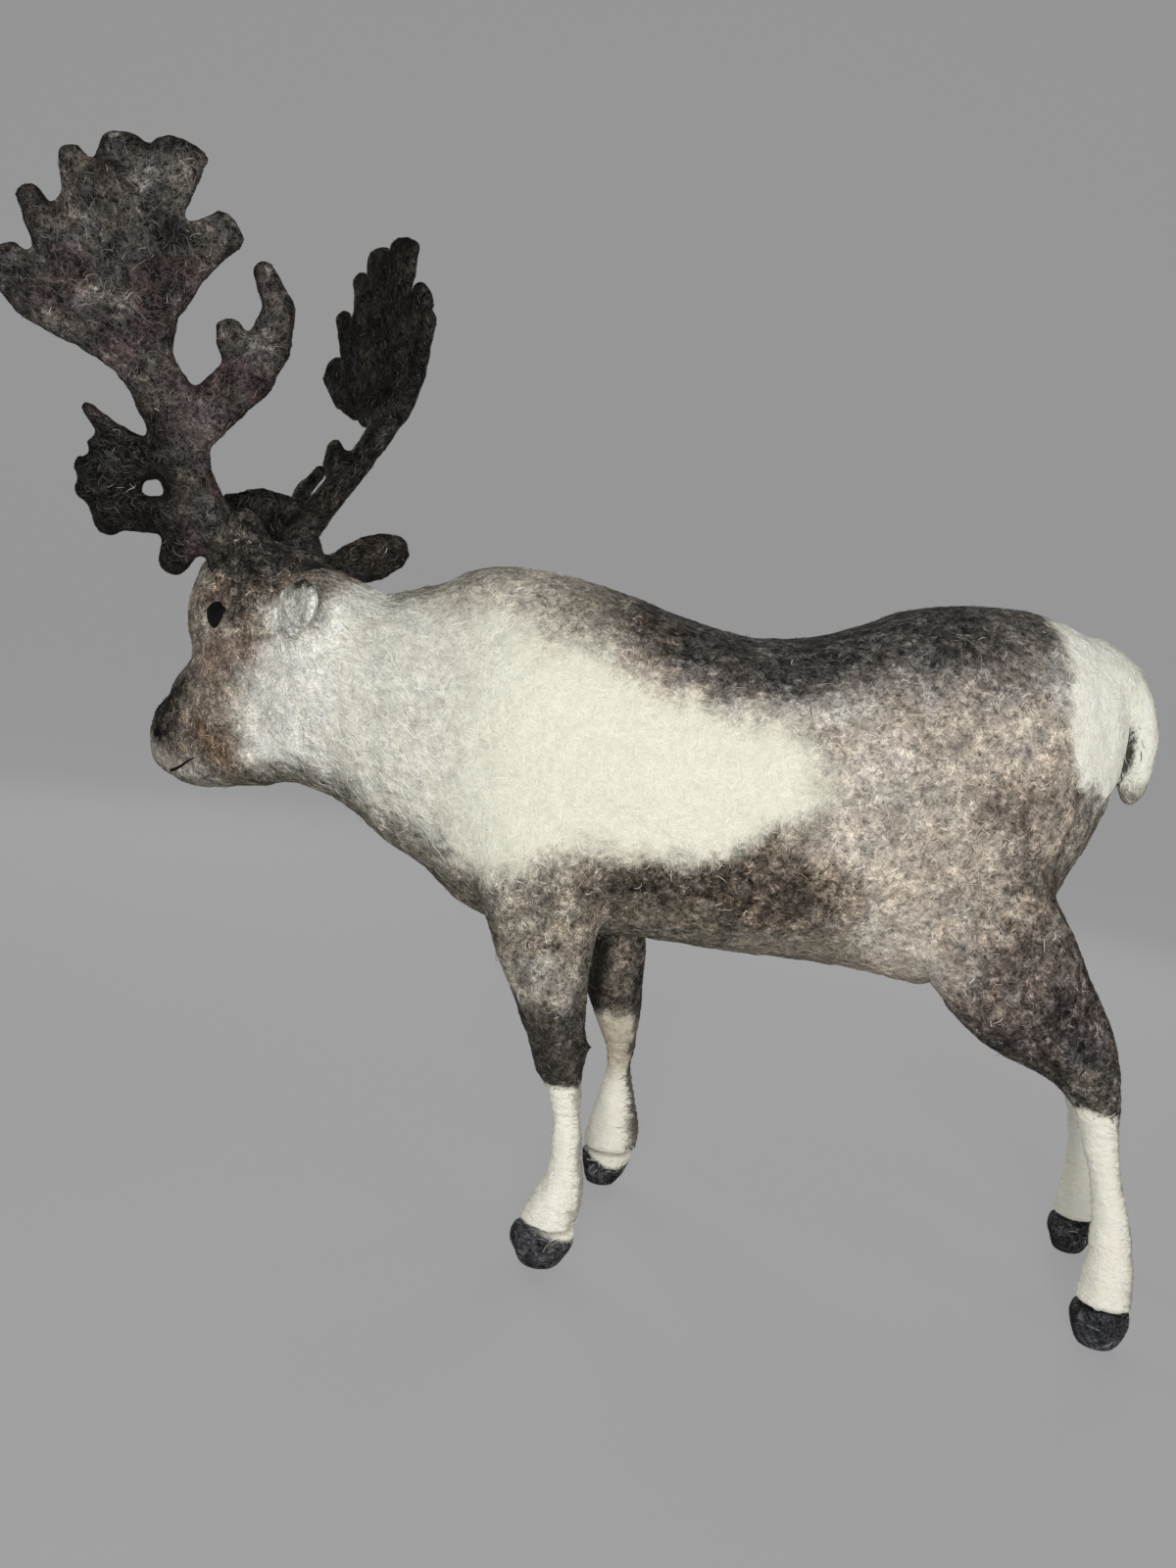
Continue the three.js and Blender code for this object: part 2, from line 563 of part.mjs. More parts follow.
const figure = new THREE.Group();
place(figure, 'torso', body.torso, 'white', [0, 0, 110]);
place(figure, 'neck', body.neck, 'white', [-36, 0, 112]);
place(figure, 'tail', tail, 'white', [112, 0, 153]);
for (const [leg, stations] of Object.entries(LEGS)) {
  const limb = new THREE.Group();
  limb.position.set(...stations[1].slice(0, 3));
  figure.add(limb);
  for (const [piece, material, row] of LEG_PIECES) {
    const name = `leg_${leg}_${piece}`;
    const local = body[name].translate(limb.position.clone().negate().toArray());
    const pivot = stations[row].slice(0, 3).map((value, i) => value - limb.position.getComponent(i));
    place(limb, name, local, material, pivot);
  }
}

const headGroup = new THREE.Group();
headGroup.position.set(HEAD_PIVOT.x, HEAD_PIVOT.y, 0);
headGroup.rotation.z = -HEAD_TURN;
figure.add(headGroup);
const toHead = headFrame.clone().invert().elements;
const blocked = join([headFlesh(GAP), loft(NECK, { ...NECK_LOFT, grow: GAP }).transform(toHead)]);
place(headGroup, 'head', body.head.transform(toHead), 'heather', [0, 0, HEAD_PIVOT.z]);
place(headGroup, 'mouth_line', mouthLine(), 'black', MOUTH_PIVOT);
for (const [label, spec] of Object.entries(ANTLERS)) {
  const { side } = spec;
  const earSpec = EARS[label];
  const earSolid = largest(ear(earSpec, side).subtract(blocked));
  place(headGroup, `ear_${label}`, earSolid, 'charcoal', headPoint(earSpec.base, side).toArray());
  place(headGroup, `eye_${label}`, eye(side), 'bead', headPoint([EYE.s, EYE.lateral, EYE.z], side).toArray());
  const nostrilAt = headPoint([NOSTRIL.s, NOSTRIL.lateral, NOSTRIL.z], side).toArray();
  place(headGroup, `nostril_${label}`, nostril(side), 'black', nostrilAt);
  const antler = new THREE.Group();
  antlerFrame(spec).decompose(antler.position, antler.quaternion, antler.scale);
  headGroup.add(antler);
  for (const [piece, solid] of Object.entries(antlerPieces(spec, blocked))) {
    const cut = spec.cuts[piece];
    const pivot = cut ? antlerPoint([...cut.at, 0], spec) : [0, 0, 0];
    place(antler, `antler_${label}_${piece}`, solid, 'antler', pivot);
  }
}

// The origin is under the middle of the whole figure, on the floor
const model = new THREE.Group();
model.add(figure);
const extent = new THREE.Box3().setFromObject(model, true);
const middle = extent.getCenter(new THREE.Vector3());
figure.position.set(-middle.x, -middle.y, -extent.min.z);

export default model;
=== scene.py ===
"""A needle-felted reindeer figure, dressed over its CAD frame.

Lengths below are millimetres unless a name says otherwise; MM turns them into Blender's metres.
The figure stands with its muzzle to -X, its left flank to -Y and its soles on Z = 0.
"""
import math
from collections import namedtuple
from itertools import product

import bmesh
import bpy
import numpy as np
from mathutils import Matrix
from mathutils import Vector
from mathutils.bvhtree import BVHTree


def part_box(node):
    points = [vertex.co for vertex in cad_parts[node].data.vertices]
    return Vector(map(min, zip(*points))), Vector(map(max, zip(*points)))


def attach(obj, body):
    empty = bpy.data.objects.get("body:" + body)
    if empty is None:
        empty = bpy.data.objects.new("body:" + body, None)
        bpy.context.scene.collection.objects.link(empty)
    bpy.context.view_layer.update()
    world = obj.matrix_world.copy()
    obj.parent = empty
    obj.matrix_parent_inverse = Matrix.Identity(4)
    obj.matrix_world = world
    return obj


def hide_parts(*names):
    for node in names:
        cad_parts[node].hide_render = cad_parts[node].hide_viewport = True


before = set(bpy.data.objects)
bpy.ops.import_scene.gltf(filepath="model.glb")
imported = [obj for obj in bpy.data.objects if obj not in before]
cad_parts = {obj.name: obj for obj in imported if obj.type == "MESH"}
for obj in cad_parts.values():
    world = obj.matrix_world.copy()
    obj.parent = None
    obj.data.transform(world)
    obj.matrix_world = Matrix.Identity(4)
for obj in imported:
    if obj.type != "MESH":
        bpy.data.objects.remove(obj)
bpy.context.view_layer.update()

MM = 0.001
# Where the figure's own origin, between its shoulders on the floor, lies in the frame
FIGURE_ORIGIN = np.array((-3.73, -16.1, 0.0))
HEAD_PIVOT = np.array((-72.0, 0.0, 0.0))
HEAD_TURN = math.radians(32)
TURN_COS = math.cos(HEAD_TURN)
TURN_SIN = math.sin(HEAD_TURN)
CAD_GAP = 0.3
SEED = 24

LEGS = ("front_left", "front_right", "hind_left", "hind_right")
CUFFS = {"front_left": 42.2, "front_right": 46.5, "hind_left": 53.2, "hind_right": 53.2}
FLESH = ["torso", "neck", "head", "tail", "ear_left", "ear_right"]
FLESH += [f"leg_{leg}_{piece}" for leg in LEGS for piece in ("upper", "cannon")]
ANTLER_PIECES = ("beam", "palm", "back", "bez", "brow")

# A fibre is a ribbon of this many joined lengths; its coat bakes to a patch of this size
SEGMENTS = 3
TUFT_PATCH = 0.003
MOST_FIBRES = 32000
FIBRE_SINK = 0.03
FIBRE_LOWEST = 0.05
# How far a fibre wanders from the wool that gave it its colour, which mixes the edges of the markings
WOOL_SPREAD = 0.8
LYING_PROFILE = np.array((0.0, 1.0, 0.9, 0.1))
STRAY_PROFILE = np.array((0.0, 1.2, 2.6, 4.5))
WIDTH_PROFILE = np.array((0.6, 1.0, 0.85, 0.25))
Lie = namedtuple("Lie", "length width height curl scatter stray")

# The camera of the photograph, at the photograph's own distance
CAMERA_AT = (0, -278, 131)
CAMERA_PITCH = math.radians(5)
CAMERA_ROLL = math.radians(8.3)
CAMERA_LENS = 27


def to_frame(points):
    """Figure millimetres to Blender metres."""
    return (np.asarray(points, float) + FIGURE_ORIGIN) * MM


def to_figure(points):
    """Blender metres to figure millimetres."""
    return np.asarray(points, float) / MM - FIGURE_ORIGIN


def to_head(points):
    """Figure points as (distance ahead of the head's pivot, distance to its left, height)."""
    x, y, z = (points - HEAD_PIVOT).T
    return np.stack((TURN_SIN * y - TURN_COS * x, -TURN_SIN * x - TURN_COS * y, z), axis=1)


def from_head(ahead, left, height):
    """The figure point at a distance ahead of the head's pivot, to its left, and a height."""
    return HEAD_PIVOT + (-TURN_COS * ahead - TURN_SIN * left, TURN_SIN * ahead - TURN_COS * left, height)


def add_object(name, data):
    obj = bpy.data.objects.new(name, data)
    bpy.context.scene.collection.objects.link(obj)
    return obj


def mesh_of(name, form):
    mesh = bpy.data.meshes.new(name)
    form.to_mesh(mesh)
    form.free()
    return mesh


def shade_smooth(mesh):
    mesh.polygons.foreach_set("use_smooth", np.ones(len(mesh.polygons), bool))


def finish_piece(obj, material, nodes):
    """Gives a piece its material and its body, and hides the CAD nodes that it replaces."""
    obj.data.materials.append(material)
    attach(obj, "root")
    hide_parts(*nodes)


def add_camera():
    data = bpy.data.cameras.new("camera")
    data.sensor_width = 36
    data.lens = CAMERA_LENS
    data.clip_start = 0.01
    camera = add_object("camera", data)
    camera.matrix_world = (
        Matrix.Translation(Vector(to_frame(CAMERA_AT)))
        @ Matrix.Rotation(math.pi / 2 - CAMERA_PITCH, 4, "X")
        @ Matrix.Rotation(CAMERA_ROLL, 4, "Z")
    )
    bpy.context.scene.camera = camera


# Numbers and noise
def unit(vectors):
    return vectors / np.maximum(np.linalg.norm(vectors, axis=-1, keepdims=True), 1e-12)


def smooth_step(value):
    value = np.clip(value, 0, 1)
    return value * value * (3 - 2 * value)


def ease(value, start, run):
    """Rises smoothly from 0 at start to 1 at start + run; run may be negative."""
    return smooth_step((value - start) / run)


def noise(points, size, seed=0):
    """Smooth noise from -1 to 1 whose lumps are about size across."""
    place = points / size + seed * 17.31
    base = np.floor(place).astype(np.int64)
    part = place - base
    fade = part * part * part * (part * (part * 6 - 15) + 10)
    total = np.zeros(len(points))
    for corner in product((0, 1), repeat=3):
        corner = np.array(corner)
        key = (base + corner) @ np.array((73856093, 19349663, 83492791)) + seed * 1013
        key = (key ^ (key >> 13)) * 1274126177
        key = (key ^ (key >> 16)) & 0xFFFF
        weight = np.where(corner == 1, fade, 1 - fade).prod(axis=1)
        total += weight * (key / 32767.5 - 1)
    return total


def above(values, at, line, soft):
    """1 where values are above the line (a list of (place, height)), falling to 0 over soft."""
    places, heights = np.array(line, float).T
    return smooth_step(0.5 + (values - np.interp(at, places, heights)) / soft)


def near(across, up, chain, soft):
    """1 inside a chain of circles (across, up, radius), falling to 0 over soft."""
    best = np.full(len(across), 1e9)
    for (x0, z0, r0), (x1, z1, r1) in zip(chain, chain[1:]):
        run = (x1 - x0) ** 2 + (z1 - z0) ** 2
        share = np.clip(((across - x0) * (x1 - x0) + (up - z0) * (z1 - z0)) / run, 0, 1)
        away = np.hypot(across - x0 - share * (x1 - x0), up - z0 - share * (z1 - z0))
        best = np.minimum(best, away - (r0 + share * (r1 - r0)))
    return smooth_step(0.5 - best / soft)


def srgb(red, green, blue):
    """A colour as the eye reads it, 0 to 255, as linear light."""
    value = np.array((red, green, blue), float) / 255
    return np.where(value < 0.04045, value / 12.92, ((value + 0.055) / 1.055) ** 2.4)


# Wools
WHITE = srgb(234, 232, 214)
PALE = srgb(186, 180, 168)
BEIGE = srgb(180, 169, 155)
GREY_BROWN = srgb(122, 112, 102)
BROWN = srgb(108, 92, 82)
BAND = srgb(70, 62, 54)
PLUM = srgb(72, 66, 63)
FACE = srgb(140, 130, 118)
RUST = srgb(106, 87, 70)
# Painted shade for the underside of the throat and neck
THROAT_SHADE = srgb(134, 129, 117)
CREAM = srgb(243, 239, 224)
HOOF = srgb(54, 54, 56)
BLACK = srgb(20, 20, 21)
ANTLER = srgb(57, 53, 49)
ANTLER_DARK = srgb(38, 33, 30)
ANTLER_PLUM = srgb(66, 51, 52)
ANTLER_PALE = srgb(82, 77, 72)


class Coat:
    """The colour at each point, how mixed its fibres are (0 is one wool, 1 a full blend) and its grain."""

    def __init__(self, count, color, blend):
        self.color = np.tile(color, (count, 1))
        self.blend = np.full(count, float(blend))
        self.grain = np.zeros(count)

    def lay(self, mask, color, blend):
        self.color += mask[:, None] * (color - self.color)
        self.blend += mask * (blend - self.blend)

    def finish(self, points, seed):
        """Shows the mix more on dark wool, and adds its lighter and darker tufts and its pocks."""
        light = self.color @ (0.3, 0.6, 0.1)
        contrast = np.clip((0.4 / light) ** 0.42, 0.8, 2.2)
        self.grain = (self.grain + 0.3 + 0.7 * self.blend) * contrast
        self.blend = self.blend * contrast
        bent = points + 0.9 * np.stack([noise(points, 2.2, seed + axis) for axis in range(3)], axis=1)
        tufts = 1.3 * noise(bent, 2.4, seed + 3) + 1.5 * noise(bent, 1.4, seed + 4)
        tufts += 0.6 * noise(points, 6, seed + 5)
        pocks = ease(noise(points, 2.3, seed + 6), 0.32, 0.25)
        depth = self.blend * (0.27 * tufts - 0.35 * pocks)
        warmth = self.blend * 0.04 * noise(points, 4, seed + 7)
        self.color *= np.exp(depth[:, None] + warmth[:, None] * (1, 0, -1))


def lay_patches(coat, across, up, ragged, patches):
    """Lays soft patches in turn, each with its own share of the ragged edge."""
    for strength, chain, soft, share, wool, blend in patches:
        coat.lay(strength * near(across, up + share * ragged, chain, soft), wool, blend)


# Markings of the torso and neck, as (x, z) seen from the side
WHITE_TOP = [(-52, 148), (-45, 145), (-38, 142.5), (-27, 143.5), (-16, 140.5), (-9.6, 138), (-1, 137.5),
             (4, 135), (12.6, 131), (20.5, 130), (26.6, 128), (36, 127), (43, 126), (49, 123), (57, 116)]
WHITE_FOOT = [(-60, 60), (-46, 72), (-34, 82), (-28, 85.5), (-19, 86), (-12, 88), (-7, 92), (2, 95),
              (12.6, 95), (21.7, 96), (30.5, 98.5), (35, 101.5), (39.2, 104.5), (45, 107.5), (52, 110.5),
              (60, 114)]
BACK_LINE = [(-10, 156), (-3.6, 151), (1.8, 143.4), (12.3, 136.8), (16.1, 135), (26, 133), (36, 132.5),
             (42.4, 134.5), (48.8, 138), (59, 141.5), (71.4, 142.5), (88.5, 147), (98, 152), (104, 157)]
GREY_LINE = [(-6, 150), (18, 134), (39, 132), (49, 134.5), (60, 136), (80, 137.5), (100, 140), (110, 138)]
FLECKED = [(22, 130.5, 1.5), (36, 129.5, 2), (46, 131, 3), (56, 134.5, 3)]
SHOULDER = [(-60, 66), (-34, 82), (-10, 91), (20, 90), (24, 60)]
WITHERS = [(-52, 149), (-38, 144), (-14, 142), (2, 139), (10, 170)]
BAND_TOP = [(8, 93), (22, 96), (31, 99), (35, 103), (40, 105), (46, 103), (52, 99), (57, 98), (62, 96),
            (68, 84)]
BAND_FOOT = [(8, 82), (18, 76), (35, 78), (48, 80), (65, 83)]
BAND_MIDDLE = [(14, 88, 6), (24, 88, 7), (34, 89, 8), (45, 92, 5)]
BELLY_LINE = [(10, 70), (27, 77.5), (49, 81), (71, 83), (86, 80), (96, 72)]
# The rump's white begins at this x, for each z
RUMP_EDGE = [(116, 113), (122, 107), (126, 103), (134, 101), (140, 101.5), (146, 100), (150, 99),
             (155, 98), (165, 97)]
LEG_SHADE = [(80, 61), (86, 74), (92, 84), (98, 91), (104, 95), (114, 96)]
LEG_DARK = [(80, 48), (90, 58), (98, 69), (107, 80), (115, 84)]
# Below this line the throat and neck take a painted shade
THROAT_LINE = [(-80, 96), (-67, 99), (-55, 98), (-43, 91), (-34, 83), (-26, 78), (-16, 70)]
# A patch is its strength, a chain of circles (across, up, radius), how soft and how ragged its edge is,
# its wool and its blend
FLANK = [
    (0.7, [(60, 84, 4), (67, 87, 6), (73, 83, 6), (80, 79, 4)], 10, 1, srgb(200, 191, 178), 0.75),
    (0.5, [(80, 97, 2), (84, 93, 2)], 6, 1, srgb(188, 178, 165), 0.8),
    (0.5, [(84, 117, 5), (92, 115, 6), (98, 119, 5)], 10, 1, BROWN, 1),
    (0.7, [(97, 104, 7), (96, 94, 9), (95, 85, 9)], 11, 1, srgb(100, 90, 81), 1),
    (0.5, [(60, 118, 5), (76, 117, 5)], 8, 1, srgb(190, 181, 169), 0.8),
    (0.5, [(66, 113, 1), (66.5, 110, 1.2)], 4, 1, BROWN, 1),
    (0.35, [(99, 128, 1), (104, 127.5, 1)], 4, 1, BROWN, 1),
    (0.6, [(58, 112, 7), (60, 126, 7)], 12, 1, srgb(192, 183, 171), 0.75),
]


def torso_coat(points):
    x, _, z = points.T
    ragged = 1.6 * noise(points, 6, 1) + 1.3 * noise(points, 2.2, 2)
    ragged_z = z + ragged
    coat = Coat(len(points), BEIGE, 0.85)
    coat.lay(0.25 * smooth_step(0.5 + 0.9 * noise(points, 13, 3)), GREY_BROWN, 0.95)
    lay_patches(coat, x, z, ragged, FLANK)
    lower = ease(x, 78, 8)
    coat.lay(lower * (1 - above(ragged_z, x, LEG_SHADE, 12)), srgb(104, 95, 88), 0.9)
    coat.lay(lower * (1 - above(ragged_z, x, LEG_DARK, 10)), PLUM, 0.85)
    shoulder = 1 - above(ragged_z, x, SHOULDER, 12)
    coat.lay(shoulder, srgb(142, 135, 123), 0.9)
    coat.lay(0.8 * shoulder * ease(ragged_z, 84, -14), srgb(130, 121, 109), 0.9)
    coat.lay(0.8 * near(x, ragged_z, [(-2, 84, 3), (5, 85, 5), (14, 84, 5)], 9), srgb(98, 88, 76), 0.95)
    coat.lay(above(ragged_z, x, WITHERS, 11), srgb(186, 180, 167), 0.7)
    coat.lay(0.6 * near(x, z, [(-14, 150, 3), (-3, 147, 4), (5, 144, 4)], 10), srgb(116, 104, 90), 0.9)
    coat.lay(0.75 * above(ragged_z, x, GREY_LINE, 10) * ease(x, 2, 12), srgb(122, 117, 112), 0.9)
    back = above(ragged_z, x, BACK_LINE, 8) * ease(x, -8, 16)
    coat.lay(back * (1 - 0.3 * ease(x, 76, 14)), srgb(73, 70, 67), 0.75)
    coat.lay(0.5 * near(x, z, [(-4, 153, 3), (8, 147, 3), (14, 142, 3)], 7), srgb(84, 74, 62), 0.9)
    coat.lay(0.45 * near(x, ragged_z, FLECKED, 4), srgb(196, 193, 185), 0.8)
    band = above(ragged_z, x, BAND_FOOT, 6) * (1 - above(ragged_z, x, BAND_TOP, 5))
    coat.lay(band * ease(x, -2, 14) * ease(x, 70, -16), srgb(118, 108, 96), 0.95)
    coat.lay(0.95 * band * near(x, ragged_z, BAND_MIDDLE, 9), BAND, 0.8)
    coat.lay(0.6 * near(x, ragged_z, [(61, 96, 1.5), (62, 92, 1.5)], 5), srgb(104, 94, 84), 0.9)
    # Darker along the belly, partly painted shade under the body
    belly = (1 - above(z, x, BELLY_LINE, 5)) * ease(x, 12, 16) * ease(x, 72, -12)
    coat.lay(0.9 * belly, srgb(126, 119, 106), 0.6)
    white = above(ragged_z, x, WHITE_FOOT, 9) * (1 - above(ragged_z, x, WHITE_TOP, 9))
    white *= smooth_step((60 - x + ragged) / 20)
    coat.lay(white, WHITE, 0.05)
    # The white turns greyer and less yellow up the neck: partly the wool's own tone, partly painted shade
    coat.lay(0.8 * white * ease(x, -14, -26), srgb(209, 206, 195), 0.45)
    # Painted shade under the throat and neck
    coat.lay(0.8 * (1 - above(z, x, THROAT_LINE, 16)) * ease(x, -14, -10), THROAT_SHADE, 0.6)
    edge = np.interp(z, *np.array(RUMP_EDGE).T)
    rump = smooth_step(0.5 + (x + 1.5 * ragged - edge) / 6)
    coat.lay(rump * ease(z + ragged, 114, 9), srgb(188, 184, 174), 0.5)
    whiter = smooth_step(0.5 + (z + x - edge + 4 * ragged - 127) / 9)
    coat.lay(rump * whiter, srgb(250, 247, 232), 0.1)
    coat.lay(0.5 * near(x, ragged_z, [(97, 148, 1.5), (98, 137, 1.5)], 4), srgb(190, 186, 180), 0.8)
    return coat


# The brown face begins this far ahead of the head's pivot, for each z
FACE_EDGE = [(92, 15), (98, 7), (105, 3.5), (113, 6), (118, 5), (122.7, 4.7), (127, 2), (129, -1),
             (131, -8), (133, -12), (143, -13), (150, -10)]
# Markings of the head, as (distance ahead of its pivot, z)
CROWN_LINE = [(-14, 153), (-6, 147), (2, 143), (9, 140), (18, 143), (26, 147), (34, 150)]
CHEEK = [
    (0.6, [(4, 126, 4), (16, 124, 5)], 9, 1, srgb(134, 112, 98), 0.9),
    (0.5, [(17, 139, 1.5), (13, 138.5, 1.2)], 5, 1, srgb(126, 94, 76), 0.8),
    (0.8, [(12, 143, 4), (5, 141, 5), (8, 134, 4)], 8, 1, srgb(66, 61, 54), 0.9),
    (0.6, [(18, 137, 3), (14, 139.5, 3)], 5, 1, srgb(90, 76, 66), 0.9),
]
# The brow, the root of the ear, the lower lid, the nose, the jaw, the throat, the lip and the chin
FEATURES = [
    (0.7, [(11, 146, 3.5), (15, 151, 3)], 5, 1, srgb(72, 68, 61), 0.8),
    (0.85, [(-4, 134, 4), (-9, 135.5, 6), (-12, 134, 5)], 5, 1, srgb(222, 219, 208), 0.95),
    (0.7, [(-11, 136, 0.4), (-11, 140, 0.8), (-9, 144, 0.8)], 3, 1, GREY_BROWN, 1),
    (0.6, [(11.5, 132, 0.6), (12.5, 131.5, 0.5)], 2.5, 1, PALE, 0.7),
    (1, [(24, 118, 1.5), (32, 113, 4.5), (40, 109, 5.5)], 8, 0.7, srgb(33, 31, 27), 0.8),
    (1, [(29, 106, 4), (38, 103.5, 3.5)], 7, 0.7, srgb(50, 46, 42), 0.85),
    (0.9, [(20, 107, 4), (13, 102, 4.5), (8, 98, 4)], 8, 0.7, RUST, 0.8),
    # The line under the jaw: brown wool, darkened further by painted shadow
    (0.85, [(14, 93.5, 2), (0, 94, 3.5), (-6, 94, 2)], 6, 0, srgb(98, 88, 74), 0.7),
    (1, [(44, 98.5, 2.5), (38, 96, 3.5), (31, 95.5, 1.5)], 5, 0.5, srgb(176, 169, 160), 0.5),
    (0.8, [(40, 92, 2), (26, 91.5, 2.5)], 4, 0, srgb(200, 194, 180), 0.4),
]


def head_coat(points):
    s, _, z = to_head(points).T
    ragged = 1.4 * noise(points, 5, 5) + 1.2 * noise(points, 1.8, 6)
    coat = Coat(len(points), srgb(232, 229, 218), 0.5)
    # Painted shade under the throat
    coat.lay(0.8 * (1 - above(z, points[:, 0], THROAT_LINE, 16)) * ease(s, 6, -12), THROAT_SHADE, 0.6)
    edge = np.interp(z, *np.array(FACE_EDGE).T)
    coat.lay(smooth_step(0.5 + (s + ragged - edge) / 10) * ease(z, 93, 6), FACE, 0.85)
    lay_patches(coat, s, z, ragged, CHEEK)
    crown = 0.95 * above(z + ragged, s, CROWN_LINE, 7) * ease(s, -12, 4)
    coat.lay(crown, srgb(46, 43, 40), 0.9)
    lay_patches(coat, s, z, ragged, FEATURES)
    return coat


def leg_coat(points, leg):
    x, _, z = points.T
    ragged = 1.2 * noise(points, 3, 8) + 0.8 * noise(points, 1.5, 9)
    cuff = smooth_step(0.5 + (CUFFS[leg] - z + 0.4 * ragged) / 1.2)
    if leg.startswith("hind"):
        coat = torso_coat(points)
        coat.lay(0.75 * smooth_step((70 - z + 2 * ragged) / 14), srgb(54, 51, 46), 0.85)
        coat.lay(cuff, CREAM, 0.0)
        return coat
    knee = smooth_step(0.5 + (60 - z + 1.5 * ragged) / 6)
    if leg == "front_left":
        coat = Coat(len(points), srgb(146, 139, 128), 0.9)
        coat.lay(knee, srgb(64, 60, 55), 0.5)
        coat.lay(cuff, CREAM, 0.0)
        return coat
    # The far foreleg's wool is darker than the near one's, partly painted shade
    coat = Coat(len(points), srgb(106, 98, 88), 0.9)
    coat.lay(0.3 * knee, srgb(64, 60, 55), 0.5)
    # Painted shadow on the far foreleg's front edge, between the forelegs
    coat.lay(0.95 * near(x, z, [(9, 72, 3), (9.5, 48, 2)], 4), srgb(26, 23, 19), 0.4)
    cuff = smooth_step(0.5 + (CUFFS[leg] - z + ragged) / 4)
    coat.lay(cuff, CREAM, 0.0)
    coat.lay(cuff * ease(z, 27, 8), srgb(196, 186, 166), 0.3)
    return coat


def tail_coat(points):
    coat = Coat(len(points), srgb(240, 238, 224), 0.1)
    coat.lay(0.85 * ease(points[:, 2], 128, -6), srgb(124, 120, 110), 0.5)
    return coat


def ear_coat(points, side):
    s, _, z = to_head(points).T
    ragged = 1.2 * noise(points, 2.5, 13)
    coat = Coat(len(points), srgb(42, 38, 34), 0.8)
    if side == "right":
        coat.lay(0.5 * near(s + ragged, z, [(-8, 141, 1.5), (-9, 139, 1.5)], 3), srgb(74, 50, 46), 0.6)
        return coat
    cup = near(s + ragged, z + ragged, [(0, 135, 5), (-10, 135.5, 6), (-22, 136, 6)], 4)
    coat.lay(0.95 * cup, srgb(236, 233, 222), 1)
    return coat


def flesh_coat(points, normals, labels):
    """Each part of the skin takes its own markings, and they meet in soft, ragged edges."""
    coat = torso_coat(points)
    nodes = np.array(FLESH)[labels]
    head = np.isin(nodes, ("head", "neck"))
    face = head_coat(points[head])
    ahead = to_head(points[head])[:, 0] + 1.5 * noise(points[head], 4, 11)
    share = ease(ahead, -22, 8)
    coat.color[head] += share[:, None] * (face.color - coat.color[head])
    coat.blend[head] += share * (face.blend - coat.blend[head])
    coat.grain[head] = 0.25 + 0.55 * share
    for node in FLESH:
        chosen = nodes == node
        own = node_coat(node, points[chosen])
        if own:
            coat.color[chosen] = own.color
            coat.blend[chosen] = own.blend
    # Painted shade, laid by which way the skin faces
    lay_shades(coat, points, normals, nodes)
    coat.grain[np.char.startswith(nodes, "ear")] = 0.8
    coat.grain += 0.4 * ease(points[:, 2], 90, -12) * ease(points[:, 0], 24, -10)
    coat.finish(points, 60)
    return coat


def lay_shades(coat, points, normals, nodes):
    """Painted shade under the body and throat, and down the backs of the rump, legs and tail."""
    x, _, z = points.T
    ragged = 0.12 * noise(points, 3, 14) + 0.08 * noise(points, 1.4, 15)
    # Painted shade where the body, neck and head face down
    trunk = np.isin(nodes, ("torso", "neck", "head")) & (z > 70)
    under = smooth_step((-normals[:, 2] - 0.25 + ragged) / 0.5) * (1 - ease(x, 28, 14))
    coat.lay(0.8 * trunk * under, srgb(108, 101, 89), 0.8)
    # Grey wool along the top of the neck, partly painted shade, where the skin faces up
    nape = trunk * smooth_step((normals[:, 2] - 0.6 + ragged) / 0.35) * ease(x, -18, -10)
    nape *= ease(x, -56, 10)
    coat.lay(0.75 * nape * (z > 130), srgb(142, 137, 125), 0.7)
    # Painted shade on the sides that face back: haunch, forelegs, cannons and tail, darkest on the far
    # cannon
    rear = normals[:, 0] + ragged
    uppers = np.isin(nodes, ("leg_hind_left_upper", "leg_hind_right_upper"))
    haunch = (uppers | (nodes == "torso")) & (x > 96) & (z < 122)
    fore = np.isin(nodes, ("leg_front_left_upper", "leg_front_right_upper"))
    cannon = np.char.endswith(nodes, "cannon")
    far_cannon = nodes == "leg_front_right_cannon"
    for chosen, strength, start, soft, wool, blend in (
        (haunch, 0.8, 0.42, 0.4, srgb(64, 58, 50), 0.8),
        (fore, 0.7, 0.5, 0.35, srgb(66, 60, 52), 0.8),
        (cannon, 0.6, 0.55, 0.3, srgb(112, 103, 88), 0.4),
        (far_cannon, 0.8, 0.5, 0.3, srgb(74, 64, 52), 0.5),
        (nodes == "tail", 0.7, 0.58, 0.35, srgb(156, 152, 141), 0.4),
    ):
        coat.lay(strength * chosen * ease(rear, start, soft), wool, blend)


def node_coat(node, points):
    """The markings of a part that doesn't share the torso's or the head's."""
    if node.startswith("leg"):
        return leg_coat(points, node.removeprefix("leg_").rsplit("_", 1)[0])
    if node == "tail":
        return tail_coat(points)
    if node.startswith("ear"):
        return ear_coat(points, node.removeprefix("ear_"))
    return None


# Felt skins
# A lump is this many balls in a row
BALLS_IN_LUMP = 12


